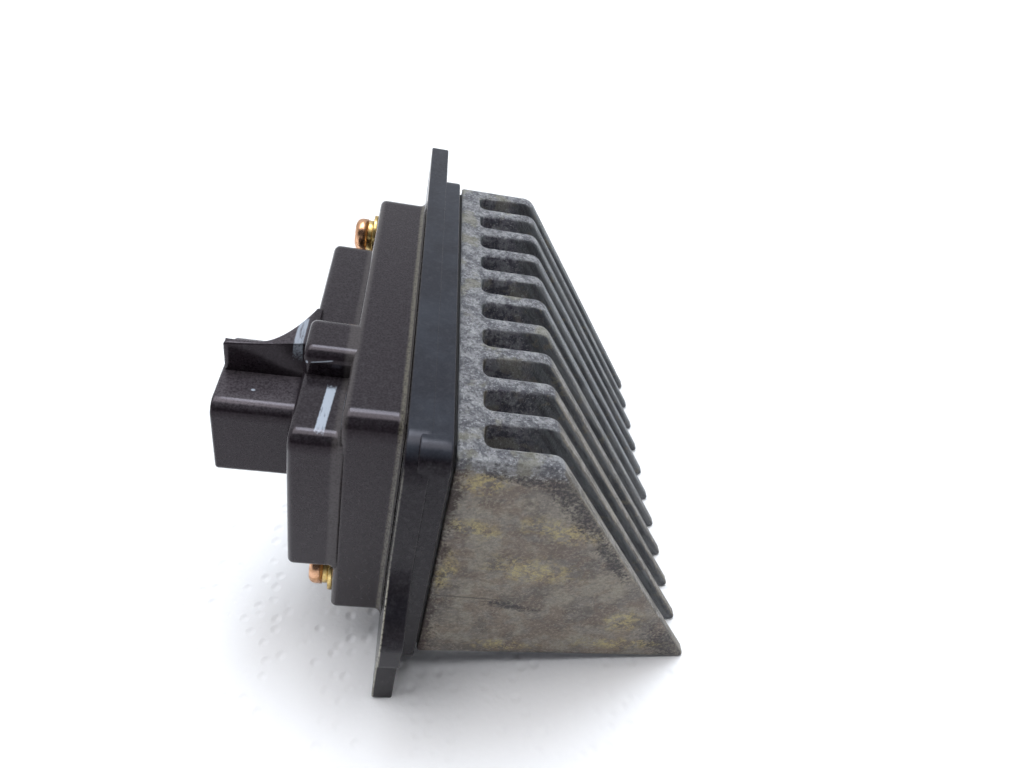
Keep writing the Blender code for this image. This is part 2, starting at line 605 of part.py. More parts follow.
for label, (y, z) in (("Top", TOP_SCREW), ("Low", LOW_SCREW)):
    join(housing, label + "ColumnTool",
         disc_x((y, z), COLUMN_RADIUS, HOUSING_FOOT_X - FIT_GAP, MAIN_END_X + WALL / 2))
for label, y in (("Near", BOARD_NEAR_Y + POST_RADIUS * 2), ("Far", BOARD_FAR_Y - POST_RADIUS * 2)):
    join(housing, label + "PostTool",
         disc_x((y, (BOARD_LOW_Z + BOARD_TOP_Z) / 2), POST_RADIUS, BOARD_BACK_X - SEAT_GAP,
                STEP_END_X + WALL / 2))
cut(housing, "SocketTool",
    prism_x(box_outline((SOCKET_NEAR_Y + SOCKET_WALL, SOCKET_LOW_Z + SOCKET_WALL),
                        (SOCKET_FAR_Y - SOCKET_WALL, SOCKET_TOP_Z - SOCKET_WALL),
                        SOCKET_CORNER - SOCKET_WALL / 2), SOCKET_BACK_X, MOUTH_X - CUT_MARGIN))
for label, (y, z) in (("Top", TOP_SCREW), ("Low", LOW_SCREW)):
    cut(housing, label + "CoverHoleTool",
        disc_x((y, z), SCREW_RADIUS + FIT_GAP, HOUSING_FOOT_X + CUT_MARGIN,
               MAIN_END_X - CUT_MARGIN))
blade_places = [SOCKET_MID_Y + (index - (BLADE_COUNT - 1) / 2) * BLADE_PITCH
                for index in range(BLADE_COUNT)]
half_blade = BLADE_THICK / 2
half_width = BLADE_WIDTH / 2
for index, y in enumerate(blade_places):
    cut(housing, f"BladeSlotTool{index + 1}",
        block(SOCKET_BACK_X - CUT_MARGIN, STEP_END_X + WALL + CUT_MARGIN,
              y - half_blade - FIT_GAP, y + half_blade + FIT_GAP,
              SOCKET_MID_Z - half_width - FIT_GAP, SOCKET_MID_Z + half_width + FIT_GAP))


# Cover screws: pan heads turned with the Screw modifier, each over two washers
def pan_screw(name, place, seat_x, head_radius, head_height, radius, tip_x, material):
    """Screw along X: a rounded pan head behind its seat, a plain shank and a cross recess."""
    y, z = place
    bend = head_height * HEAD_ROUND_SHARE
    outline = [(seat_x - head_height, 0.0), (seat_x - head_height, head_radius - bend)]
    outline += [(seat_x - head_height + bend * (1 - math.cos(angle)),
                 head_radius - bend + bend * math.sin(angle))
                for angle in [math.pi / 2 * step / HEAD_ARC_STEPS
                              for step in range(1, HEAD_ARC_STEPS + 1)]]
    outline += [(seat_x, head_radius), (seat_x, radius), (tip_x - radius / 3, radius),
                (tip_x, radius * 2 / 3), (tip_x, 0.0)]
    data = bmesh.new()
    points = [data.verts.new((x, height, 0.0)) for x, height in outline]
    for first, second in zip(points, points[1:]):
        data.edges.new((first, second))
    mesh = bpy.data.meshes.new(name)
    data.to_mesh(mesh)
    data.free()
    item = bpy.data.objects.new(name, mesh)
    product.objects.link(item)
    mesh.materials.append(material)
    item.location = (0.0, y, z)
    turn = item.modifiers.new("Turn", "SCREW")
    turn.axis = "X"
    turn.steps = ROUND_STEPS
    turn.render_steps = ROUND_STEPS
    turn.use_merge_vertices = True
    turn.merge_threshold = WELD
    turn.use_normal_calculate = True
    arm = head_radius * RECESS_ARM_SHARE
    slot = head_radius * RECESS_SLOT_SHARE
    deep = head_height * RECESS_DEPTH_SHARE
    for label, half_y, half_z in (("Wide", arm, slot), ("Tall", slot, arm)):
        cut(item, name + label + "RecessTool",
            block(seat_x - head_height - deep, seat_x - head_height + deep,
                  y - half_y, y + half_y, z - half_z, z + half_z))
    return item


def washer(name, place, x0, x1, outer, inner, material, split=0.0):
    """Flat ring about X; a split makes it a spring washer."""
    item = add_object(name, disc_x(place, outer, x0, x1), product, material)
    cut(item, name + "BoreTool", disc_x(place, inner, x0 - CUT_MARGIN, x1 + CUT_MARGIN))
    if split > 0:
        y, z = place
        cut(item, name + "SplitTool",
            block(x0 - CUT_MARGIN, x1 + CUT_MARGIN, y, y + outer + CUT_MARGIN,
                  z - split / 2, z + split / 2))
    return item


flat_x1 = MAIN_END_X - SEAT_GAP
flat_x0 = flat_x1 - FLAT_WASHER_THICK
spring_x1 = flat_x0 - SEAT_GAP
spring_x0 = spring_x1 - SPRING_WASHER_THICK
head_seat_x = spring_x0 - SEAT_GAP
for label, place in (("top", TOP_SCREW), ("low", LOW_SCREW)):
    washer(f"flat_washer_{label}", place, flat_x0, flat_x1, FLAT_WASHER_RADIUS,
           SCREW_RADIUS + FIT_GAP, plated_steel)
    washer(f"spring_washer_{label}", place, spring_x0, spring_x1, SPRING_WASHER_RADIUS,
           SCREW_RADIUS + FIT_GAP, plated_steel, split=SPRING_WASHER_SPLIT)
    pan_screw(f"cover_screw_{label}", place, head_seat_x, SCREW_HEAD_RADIUS, SCREW_HEAD_HEIGHT,
              SCREW_RADIUS, CAST_FACE_X + THREAD_ENGAGEMENT, brass)


# Connector blades: flat pins through the shroud floor into the board
for index, y in enumerate(blade_places):
    blade = add_object(f"connector_blade_{index + 1}",
                       block(BLADE_TIP_X, BLADE_ROOT_X, y - half_blade, y + half_blade,
                             SOCKET_MID_Z - half_width, SOCKET_MID_Z + half_width),
                       product, tinned_copper)
    soften(blade, BLADE_EDGE)


# Circuit board: carries the blades and the leads of both power devices
board = add_object("circuit_board",
                   block(BOARD_BACK_X, BOARD_FRONT_X, BOARD_NEAR_Y, BOARD_FAR_Y,
                         BOARD_LOW_Z, BOARD_TOP_Z), product, board_green)
for index, y in enumerate(blade_places):
    cut(board, f"BoardBladeTool{index + 1}",
        block(BOARD_BACK_X - CUT_MARGIN, BOARD_FRONT_X + CUT_MARGIN,
              y - half_blade - FIT_GAP, y + half_blade + FIT_GAP,
              SOCKET_MID_Z - half_width - FIT_GAP, SOCKET_MID_Z + half_width + FIT_GAP))

lead_z = DEVICE_TOP_Z + LEAD_REACH
half_lead = LEAD_SIZE / 2
device_mid_x = (DEVICE_FACE_X + DEVICE_BACK_X) / 2
for label, side in (("near", -1), ("far", 1)):
    centre_y = side * DEVICE_SPACING / 2
    screw_place = (centre_y, DEVICE_LOW_Z + DEVICE_HEIGHT / 3)
    half_device = DEVICE_WIDTH / 2

    # Insulating pad: thin silicone sheet under each device
    pad = add_object(f"insulating_pad_{label}",
                     block(PAD_BACK_X - PAD_THICK, PAD_BACK_X,
                           centre_y - half_device - PAD_MARGIN,
                           centre_y + half_device + PAD_MARGIN,
                           DEVICE_LOW_Z + PAD_MARGIN, DEVICE_TOP_Z + PAD_MARGIN),
                     product, silicone)
    cut(pad, f"PadHoleTool_{label}",
        disc_x(screw_place, DEVICE_SCREW_RADIUS + FIT_GAP, PAD_BACK_X - CUT_MARGIN,
               PAD_BACK_X + CUT_MARGIN))

    # Power device: epoxy body with three bent leads
    device = add_object(f"power_device_{label}",
                        block(DEVICE_BACK_X, DEVICE_FACE_X, centre_y - half_device,
                              centre_y + half_device, DEVICE_LOW_Z, DEVICE_TOP_Z),
                        product, device_epoxy)
    soften(device, DEVICE_EDGE)
    for number in (-1, 0, 1):
        y = centre_y + number * LEAD_PITCH
        lead = [(device_mid_x + half_lead, DEVICE_TOP_Z - LEAD_REACH / 2),
                (device_mid_x + half_lead, lead_z + half_lead),
                (BOARD_BACK_X + half_lead, lead_z + half_lead),
                (BOARD_BACK_X + half_lead, lead_z - half_lead),
                (device_mid_x - half_lead, lead_z - half_lead),
                (device_mid_x - half_lead, DEVICE_TOP_Z - LEAD_REACH / 2)]
        join(device, f"LeadTool_{label}_{number + 2}",
             prism_y(lead, y - half_lead, y + half_lead))
        cut(board, f"BoardLeadTool_{label}_{number + 2}",
            disc_x((y, lead_z), LEAD_SIZE + FIT_GAP / 2, BOARD_BACK_X - CUT_MARGIN,
                   BOARD_FRONT_X + CUT_MARGIN))
    cut(device, f"DeviceHoleTool_{label}",
        disc_x(screw_place, DEVICE_SCREW_RADIUS + FIT_GAP, DEVICE_BACK_X - CUT_MARGIN,
               DEVICE_FACE_X + CUT_MARGIN))
    pan_screw(f"device_screw_{label}", screw_place, DEVICE_BACK_X - SEAT_GAP,
              DEVICE_SCREW_HEAD_RADIUS, DEVICE_SCREW_HEAD_HEIGHT, DEVICE_SCREW_RADIUS,
              PEDESTAL_X + THREAD_ENGAGEMENT, plated_steel)


# Capacitor can and thermal fuse: both stand on the heatsink side of the board
capacitor_place = (BOARD_NEAR_Y + CAPACITOR_RADIUS * 2, BOARD_TOP_Z - CAPACITOR_RADIUS * 2)
capacitor = add_object("capacitor",
                       disc_x(capacitor_place, CAPACITOR_RADIUS, BOARD_FRONT_X + SEAT_GAP,
                              BOARD_FRONT_X + SEAT_GAP + CAPACITOR_HEIGHT),
                       product, tinned_copper)
soften(capacitor, CAPACITOR_EDGE)
fuse_y = BOARD_FAR_Y - FUSE_LENGTH - FUSE_RADIUS * 2
fuse_z = BOARD_TOP_Z - FUSE_DROP
fuse_x = BOARD_FRONT_X + SEAT_GAP + FUSE_RADIUS
fuse_data = disc_x((0.0, 0.0), FUSE_RADIUS, 0.0, FUSE_LENGTH, steps=FUSE_STEPS)
bmesh.ops.rotate(fuse_data, verts=fuse_data.verts, matrix=Matrix.Rotation(math.pi / 2, 3, "Z"))
bmesh.ops.translate(fuse_data, verts=fuse_data.verts, vec=(fuse_x, fuse_y, fuse_z))
fuse = add_object("thermal_fuse", fuse_data, product, tinned_copper)
soften(fuse, FUSE_EDGE)


# Origin: every solid moves so that the seat face of the top ear lies at the origin
SEAT_POINT = Vector((0.0, TOP_EAR_HOLE[0], TOP_EAR_HOLE[1] - 2 * EAR_HOLE_RADIUS))
for item in list(product.objects) + list(helpers.objects):
    item.location = item.location - SEAT_POINT
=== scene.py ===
"""Looks of a blower motor resistor: cast fins, flange plate, stepped housing, brass screws.

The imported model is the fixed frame. Each section below dresses or makes one piece,
in the order in which the real one is put together. Sizes are in metres, but the places
and sizes of a finish's spots and streaks are in millimetres.
"""
import math
from functools import reduce

import bpy
import numpy as np
from mathutils import Matrix, Vector
from mathutils.geometry import delaunay_2d_cdt


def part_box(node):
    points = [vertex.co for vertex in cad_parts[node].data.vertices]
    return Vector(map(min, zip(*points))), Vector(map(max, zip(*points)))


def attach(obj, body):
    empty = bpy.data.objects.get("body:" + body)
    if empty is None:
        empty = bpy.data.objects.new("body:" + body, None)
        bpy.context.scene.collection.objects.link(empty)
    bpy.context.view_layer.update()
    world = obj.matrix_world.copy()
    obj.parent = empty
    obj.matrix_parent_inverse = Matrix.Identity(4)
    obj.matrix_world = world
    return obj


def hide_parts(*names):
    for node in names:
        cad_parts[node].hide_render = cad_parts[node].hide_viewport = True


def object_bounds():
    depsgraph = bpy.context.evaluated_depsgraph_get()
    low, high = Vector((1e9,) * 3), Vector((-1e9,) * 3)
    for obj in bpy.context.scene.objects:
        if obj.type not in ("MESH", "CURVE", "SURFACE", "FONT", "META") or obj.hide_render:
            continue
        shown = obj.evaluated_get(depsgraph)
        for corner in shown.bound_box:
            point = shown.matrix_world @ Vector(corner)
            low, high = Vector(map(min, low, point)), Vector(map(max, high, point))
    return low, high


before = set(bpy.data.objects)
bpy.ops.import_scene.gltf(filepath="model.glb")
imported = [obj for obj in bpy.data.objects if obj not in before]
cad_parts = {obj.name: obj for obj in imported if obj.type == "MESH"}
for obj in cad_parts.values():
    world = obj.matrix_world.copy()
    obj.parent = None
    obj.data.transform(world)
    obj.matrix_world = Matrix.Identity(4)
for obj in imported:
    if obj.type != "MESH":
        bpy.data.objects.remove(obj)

cad_size = [list(point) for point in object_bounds()]


# Heatsink: one aluminium die casting, a thick base with eleven slanted fins. It came out of a
# damp air duct, so its skin is grey and rough, with brown and yellow corrosion on the near side.
MM = 0.001
FIN_HEIGHT = 52.1 * MM
cast_low, cast_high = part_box("heatsink")
cast_middle_y = (cast_low.y + cast_high.y) / 2
tip_base = cast_high.z - FIN_HEIGHT
cast_middle_z = (tip_base + cast_high.z) / 2
NEAR_FACE = (cast_low.y - cast_middle_y) / MM


class Value:
    """A shader socket with arithmetic; each operator adds one Math node."""

    def __init__(self, shading, socket):
        self.shading, self.socket = shading, socket

    def math(self, operation, *others):
        """One Math node on this value and the others."""
        node = self.shading.node("ShaderNodeMath", {"operation": operation})
        for slot, item in enumerate((self, *others)):
            self.shading.feed(node.inputs[slot], item)
        return Value(self.shading, node.outputs[0])

    def __add__(self, other):
        return self.math("ADD", other)

    def __sub__(self, other):
        return self.math("SUBTRACT", other)

    def __mul__(self, other):
        return self.math("MULTIPLY", other)

    def __rsub__(self, other):
        return (self * -1.0).math("ADD", other)

    __radd__, __rmul__ = __add__, __mul__

    def absolute(self):
        """The value without its sign."""
        return self.math("ABSOLUTE")

    def most(self, other):
        """The larger of two values."""
        return self.math("MAXIMUM", other)

    def ramp(self, low, high):
        """0 below low, 1 above high, with a smooth rise between; low may be the larger."""
        node = self.shading.node("ShaderNodeMapRange",
                                 {"interpolation_type": "SMOOTHSTEP", "clamp": True})
        ends = (low, high, 0.0, 1.0) if low < high else (high, low, 1.0, 0.0)
        for slot, item in enumerate((self, *ends)):
            self.shading.feed(node.inputs[slot], item)
        return Value(self.shading, node.outputs[0])


class Shading:
    """A node tree that grows with each call, for a finish or for the room's light."""

    def __init__(self, tree):
        self.tree = tree

    def feed(self, socket, item):
        """Set a socket to a number or colour, or link it to a value."""
        if isinstance(item, Value):
            item = item.socket
        if isinstance(item, bpy.types.NodeSocket):
            self.tree.links.new(item, socket)
        elif isinstance(item, (tuple, list)) and len(item) == 3 and socket.type == "RGBA":
            socket.default_value = (*item, 1.0)
        else:
            socket.default_value = item

    def node(self, kind, settings=None, **values):
        """Add a node: settings first, then the values or links of its sockets."""
        node = self.tree.nodes.new(kind)
        for key, value in (settings or {}).items():
            setattr(node, key, value)
        for key, value in values.items():
            self.feed(node.inputs[key.replace("_", " ")], value)
        return node

    def blend(self, share, first, second):
        """Mix two colours by a share from 0 to 1."""
        node = self.node("ShaderNodeMix", {"data_type": "RGBA"}, Factor=share)
        self.feed(node.inputs[6], first)
        self.feed(node.inputs[7], second)
        return node.outputs[2]


class Finish(Shading):
    """One material: its Object coordinates and Principled shader."""

    def __init__(self, name, **settings):
        self.material = bpy.data.materials.new(name)
        self.material.use_nodes = True
        super().__init__(self.material.node_tree)
        self.shader = self.tree.nodes["Principled BSDF"]
        self.place = self.node("ShaderNodeTexCoord").outputs["Object"]
        for socket, value in settings.items():
            self.feed(self.shader.inputs[socket.replace("_", " ")], value)

    def noise(self, scale, detail, roughness=0.5, place=None):
        """Cloudy noise between 0 and 1; scale is the number of clouds in a metre."""
        node = self.node("ShaderNodeTexNoise", Vector=place or self.place, Scale=scale,
                         Detail=detail, Roughness=roughness)
        return Value(self, node.outputs["Fac"])

    def cells(self, scale, randomness):
        """Distance to the nearest of scattered points, for weaves and dimples."""
        node = self.node("ShaderNodeTexVoronoi", Vector=self.place, Scale=scale,
                         Randomness=randomness)
        return Value(self, node.outputs["Distance"])

    def streaks(self, x, y, z, turn=0.0):
        """Noise drawn out to clouds of x by y by z mm, turned about Y by some degrees."""
        local = self.node("ShaderNodeMapping", {"vector_type": "TEXTURE"}, Vector=self.place,
                          Rotation=(0.0, math.radians(turn), 0.0),
                          Scale=(x * MM, y * MM, z * MM)).outputs[0]
        return self.noise(1.0, 5.0, 0.65, place=local)

    def axis(self):
        """The three Object coordinates as values."""
        parts = self.node("ShaderNodeSeparateXYZ", Vector=self.place)
        return [Value(self, output) for output in parts.outputs]

    def facing(self):
        """The three parts of the smooth surface's direction."""
        normal = self.node("ShaderNodeNewGeometry").outputs["Normal"]
        parts = self.node("ShaderNodeSeparateXYZ", Vector=normal)
        return [Value(self, output) for output in parts.outputs]

    def spot(self, centre, size, ragged=0.0, turn=0.0, axis=1, square=False):
        """1 inside a ragged ellipsoid or box, 0 outside.

        The centre is in mm, in X from the origin and in Y and Z from the fins' middle. The
        turn, in degrees, is about the X, Y or Z axis, and ragged is a value added to the
        distance from the middle, so that the rim follows its clouds."""
        rotation = [0.0, 0.0, 0.0]
        rotation[axis] = math.radians(turn)
        local = self.node("ShaderNodeMapping", {"vector_type": "TEXTURE"}, Vector=self.place,
                          Location=(centre[0] * MM, cast_middle_y + centre[1] * MM,
                                    cast_middle_z + centre[2] * MM),
                          Rotation=rotation, Scale=[part * MM for part in size]).outputs[0]
        if square:
            sides = self.node("ShaderNodeSeparateXYZ", Vector=local).outputs
            x, y, z = (Value(self, side).absolute() for side in sides)
            reach = x.most(y).most(z)
        else:
            node = self.node("ShaderNodeVectorMath", {"operation": "LENGTH"}, Vector=local)
            reach = Value(self, node.outputs["Value"])
        rim = (1.15, 0.85) if square else (1.35, 0.55)
        return (reach + ragged).ramp(*rim)

    def spots(self, ragged, *places):
        """The most of several spots, each given by its centre, its size and, if any, its turn."""
        return reduce(Value.most, [self.spot(centre, size, ragged, *turn)
                                   for centre, size, *turn in places])

    def relief(self, height, depth):
        """Small surface relief of the given depth in metres."""
        node = self.node("ShaderNodeBump", Height=height, Distance=depth, Strength=1.0)
        self.feed(self.shader.inputs["Normal"], node.outputs[0])

    def dress(self, *pieces):
        """Give this finish to objects or to CAD nodes by name."""
        for piece in pieces:
            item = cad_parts[piece] if isinstance(piece, str) else piece
            item.data.materials.clear()
            item.data.materials.append(self.material)


def smooth_node(node, edge=0.0):
    """Weld a CAD node's loose triangles and shade it smooth; edge rounds its sharp corners."""
    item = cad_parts[node]
    weld = item.modifiers.new("weld", "WELD")
    weld.merge_threshold = 0.005 * MM
    if edge:
        bevel = item.modifiers.new("edge", "BEVEL")
        bevel.width = edge
        bevel.segments = 2
        bevel.limit_method = "ANGLE"
        bevel.angle_limit = math.radians(35)
        bevel.harden_normals = True
    item.data.polygons.foreach_set("use_smooth", [True] * len(item.data.polygons))
    even = item.modifiers.new("even", "WEIGHTED_NORMAL")
    even.keep_sharp = False
    even.weight = 80
    return item


def cast_finish():
    """Grey casting: crusty tops, mottled slots, stained near face, brown to blue free edges."""
    finish = Finish("CastAluminium", Metallic=0.12)
    x, y, z = finish.axis()
    nx, _, nz = finish.facing()
    grit = finish.noise(5200, 3.0, 0.7)
    fine = finish.noise(2100, 6.0, 0.72)
    cloud = finish.noise(420, 6.0, 0.7)
    wide = finish.noise(120, 4.0, 0.6)
    rough_rim = (cloud - 0.5) * 4.2 + (fine - 0.5) * 3.4
    outer = y.ramp(cast_low.y + 1.3 * MM, cast_low.y + 0.3 * MM)
    top = (nz + (cloud - 0.5) * 0.5).ramp(0.45, 0.85)
    free_edge = (nx + (cloud - 0.5) * 0.3).ramp(0.35, 0.72)

    # Slots between the fins: dark blue-grey with pale mottles and white grains
    slot = finish.blend(cloud.ramp(0.42, 0.60), (0.105, 0.100, 0.128), (0.330, 0.330, 0.360))
    slot = finish.blend(wide.ramp(0.52, 0.60) * 0.7, slot, (0.360, 0.340, 0.290))
    slot = finish.blend(fine.ramp(0.55, 0.62) * 0.75, slot, (0.62, 0.62, 0.63))
    slot = finish.blend(fine.ramp(0.42, 0.36) * 0.55, slot, (0.040, 0.037, 0.048))
    slot = finish.blend(x.ramp(9.2 * MM, 7.8 * MM) * 0.6, slot, (0.330, 0.345, 0.360))
    drawn = finish.streaks(16.0, 3.0, 1.6, 54.0)
    lower = finish.blend(drawn.ramp(0.40, 0.60), (0.070, 0.074, 0.082), (0.160, 0.168, 0.176))
    lower = finish.blend(finish.noise(330, 6.0, 0.75).ramp(0.54, 0.64) * 0.6, lower,
                         (0.215, 0.188, 0.138))
    deep = (z * 0.6 + x + (cloud - 0.5) * (10 * MM)).ramp(cast_high.z * 0.6 + 12.5 * MM,
                                                          cast_high.z * 0.6 + 17.5 * MM)
    slot = finish.blend(deep, slot, lower)

    # Crust on the tops: white bloom over grey, broken by dark pores
    crust = finish.blend(cloud.ramp(0.42, 0.58), (0.112, 0.114, 0.130), (0.282, 0.288, 0.300))
    crust = finish.blend(fine.ramp(0.53, 0.63) * 0.62, crust, (0.54, 0.55, 0.57))
    crust = finish.blend(fine.ramp(0.45, 0.38) * 0.8, crust, (0.042, 0.042, 0.048))
    crust = finish.blend(wide.ramp(0.54, 0.62) * 0.45, crust, (0.240, 0.230, 0.150))

    # Free edges: brown and dusty on the near fins, blue-grey on the far ones
    along = finish.streaks(14.0, 0.9, 2.0, 54.0)
    brown = finish.blend(along.ramp(0.42, 0.60), (0.095, 0.082, 0.062), (0.255, 0.232, 0.190))
    blue = finish.blend(along.ramp(0.42, 0.60), (0.120, 0.132, 0.142), (0.235, 0.255, 0.265))
    near_fins = y.ramp(cast_low.y + 44 * MM, cast_low.y + 14 * MM)
    edge = finish.blend(near_fins, blue, brown)
    edge = finish.blend(near_fins * cloud.ramp(0.50, 0.60) * 0.6, edge, (0.290, 0.245, 0.170))
    edge = finish.blend(fine.ramp(0.44, 0.38) * 0.6, edge, (0.050, 0.046, 0.042))
    edge = finish.blend(fine.ramp(0.57, 0.64) * 0.4, edge, (0.44, 0.43, 0.40))

    # Near face: fine grey-brown leather grain with ochre bloom and dark damp stains
    flank = finish.blend(wide.ramp(0.44, 0.56), (0.158, 0.136, 0.120), (0.310, 0.276, 0.222))
    flank = finish.blend(cloud.ramp(0.47, 0.55) * 0.5, flank, (0.225, 0.208, 0.190))
    rust = finish.noise(170, 4.0, 0.7)
    flank = finish.blend(rust.ramp(0.50, 0.60) * 0.55, flank, (0.195, 0.140, 0.108))
    flank = finish.blend(fine.ramp(0.51, 0.62) * 0.45, flank, (0.470, 0.430, 0.350))
    flank = finish.blend(fine.ramp(0.47, 0.38) * 0.50, flank, (0.115, 0.094, 0.080))
    plain = finish.blend(0.6, flank, (0.235, 0.222, 0.205))

    def on_face(ragged, *places):
        """Spots 3 mm deep on the near face, each by its x, z, half length, half height and turn."""
        return finish.spots(ragged, *[((x, NEAR_FACE, z), (length, 3, height), turn)
                                      for x, z, length, height, turn in places])

    ochre = on_face(rough_rim * 0.55, (8.6, 21.0, 3.6, 2.8, 0), (23.0, 11.0, 7.0, 2.6, 14),
                    (9.0, 10.0, 5.0, 2.2, 20), (20.5, -0.4, 7.4, 3.6, 8),
                    (20.0, -25.6, 6.0, 1.6, -4), (43.0, -22.6, 10.0, 1.9, -4),
                    (41.0, -14.5, 3.4, 3.6, 0), (5.6, -3.0, 1.8, 6.0, 8))
    broken = finish.noise(900, 4.0, 0.75).ramp(0.44, 0.56)
    flank = finish.blend(ochre * broken * (fine.ramp(0.42, 0.56) * 0.60 + 0.25), flank,
                         (0.530, 0.435, 0.205))
    damp = on_face(rough_rim * 0.6, (25.6, 18.0, 10.6, 4.2, 50), (15.0, 22.6, 7.0, 1.0, 8),
                   (19.0, -11.8, 4.0, 1.1, 12), (52.0, -21.6, 6.0, 3.6, 40),
                   (30.0, -28.6, 30.0, 1.0, -4.3), (33.0, 5.0, 7.0, 1.3, 54))
    flank = finish.blend(damp * (fine.ramp(0.58, 0.42) * 0.50 + 0.45), flank,
                         (0.046, 0.041, 0.044))
    side = (x + (cloud - 0.5) * (9.0 * MM) + (fine - 0.5) * (7.0 * MM)).ramp(6.0 * MM, 3.6 * MM)
    flank = finish.blend(side * 0.85, flank, (0.040, 0.026, 0.022))
    scratch = on_face((cloud - 0.5) * 1.4, (10.0, -10.0, 7.6, 0.22, 1.0))
    flank = finish.blend(scratch * 0.55, flank, (0.055, 0.050, 0.048))
    flank = finish.blend(grit.ramp(0.60, 0.74) * 0.35, flank, (0.055, 0.046, 0.040))
    band = (z + (fine - 0.5) * (5.0 * MM)).ramp(cast_high.z - 3.3 * MM, cast_high.z - 1.5 * MM)
    flank = finish.blend(band * 0.9, flank, crust)

    far = y.ramp(cast_high.y - 1.3 * MM, cast_high.y - 0.3 * MM)
    slot = finish.blend(far, slot, plain)
    skin = finish.blend(free_edge, finish.blend(outer, slot, flank), edge)
    skin = finish.blend(top, skin, crust)
    finish.feed(finish.shader.inputs["Base Color"], skin)
    finish.feed(finish.shader.inputs["Roughness"], fine.ramp(0.2, 0.8) * 0.22 + 0.46)
    finish.relief(fine * 1.0 + cloud * 1.1 + grit * 0.3, 0.46 * MM)
    return finish


casting = smooth_node("heatsink")
cast_finish().dress(casting)


# Flange plate: one moulding in dark grey plastic, with the rim that locates the casting, two
# screw ears and a tongue. Its near edges are pale, partly rubbed where it was pulled out of the
# duct and partly a painted reflection of the white table, and a painted sheen and a painted
# glint stand in for light on its tops and near ear.
PLATE_EDGE = 0.35 * MM
PLATE_CORNER = 6.0 * MM
RIM_CORNER = 4.0 * MM
TOP_EAR = (11.7 * MM, 14.0 * MM)
SIDE_EAR = (7.6 * MM, 5.4 * MM)
SIDE_EAR_DROP = 45.6 * MM
EAR_SWEEP = 13.6 * MM
EAR_HOLE = 2.3 * MM
TONGUE_OUT = 3.4 * MM
TONGUE_WIDTH = 20.0 * MM
PLATE_BACK = -3.9 * MM
PLATE_SIDE_MARGIN, PLATE_LOW_MARGIN, PLATE_TOP_MARGIN = 2.7 * MM, 0.9 * MM, 2.25 * MM
RIM_INSET_NEAR, RIM_INSET_FAR, RIM_INSET_Z = 0.4 * MM, 2.2 * MM, 0.1 * MM
WINDOW_HALF_WIDTH, WINDOW_HALF_HEIGHT, WINDOW_CORNER = 19.2 * MM, 18.2 * MM, 2.0 * MM
EAR_TIP_ROUND, FOOT_ROUND, TONGUE_ROOT_ROUND = 1.2 * MM, 0.4 * MM, 0.6 * MM
GRID_STEP, LEAST_ROUND = 0.7 * MM, 0.3 * MM
ROUND_POINTS = 7


def arc(centre, radius, start, stop, count=14):
    """Points of a circular arc: centre plus radius times (cosine, sine) of even angles."""
    angle = np.radians(np.linspace(start, stop, count))
    return np.stack([centre[0] + radius * np.cos(angle), centre[1] + radius * np.sin(angle)], 1)


def sweep(start, stop):
    """S curve between two points: the first coordinate eases by 3t^2 - 2t^3, the second is even."""
    t = np.linspace(0.0, 1.0, 26)
    ease = t * t * (3.0 - 2.0 * t)
    return np.stack([start[0] + (stop[0] - start[0]) * ease,
                     start[1] + (stop[1] - start[1]) * t], 1)


def resample(outline):
    """Closed outline with extra points, so that no side is longer than the grid's step."""
    ahead = np.roll(outline, -1, axis=0)
    length = np.linalg.norm(ahead - outline, axis=1)
    pieces = np.maximum(np.ceil(length / GRID_STEP).astype(int), 1)
    start = np.repeat(outline, pieces, axis=0)
    way = np.repeat(ahead - outline, pieces, axis=0)
    first = np.repeat(np.cumsum(pieces) - pieces, pieces)
    share = (np.arange(pieces.sum()) - first) / np.repeat(pieces, pieces)
    return start + way * share[:, None]


def outward(outline):
    """Unit vectors square to a closed outline that runs anticlockwise, pointing out of it."""
    along = np.roll(outline, -1, axis=0) - np.roll(outline, 1, axis=0)
    square = np.stack([along[:, 1], -along[:, 0]], 1)
    return square / np.maximum(np.linalg.norm(square, axis=1), 1e-12)[:, None]


def grown(outline):
    """An outline as a function: each of its points moved outwards by the growth."""
    square = outward(outline)
    return lambda growth: outline + square * growth


def rounded_box(low, high, radius, foot=None):
    """Anticlockwise rounded rectangle as a function of its growth; foot rounds the lower corners.

    Its four arcs are joined by straight sides, which keep the number of their points as the box
    grows or shrinks, and no arc gets smaller than the least radius."""
    low, high = np.array(low), np.array(high)
    across, up = np.ceil((high - low) / GRID_STEP).astype(int)

    def ring(growth):
        """The rectangle's points at one growth."""
        (y0, z0), (y1, z1) = low - growth, high + growth
        top, base = (max(size + growth, LEAST_ROUND) for size in (radius, foot or radius))
        turns = [arc((y1 - top, z1 - top), top, 0, 90),
                 arc((y0 + top, z1 - top), top, 90, 180),
                 arc((y0 + base, z0 + base), base, 180, 270),
                 arc((y1 - base, z0 + base), base, 270, 360)]
        sides = [np.linspace(turns[place][-1], turns[(place + 1) % 4][0], points + 1)[1:-1]
                 for place, points in enumerate((across, up, across, up))]
        return np.concatenate([part for pair in zip(turns, sides) for part in pair])

    return ring


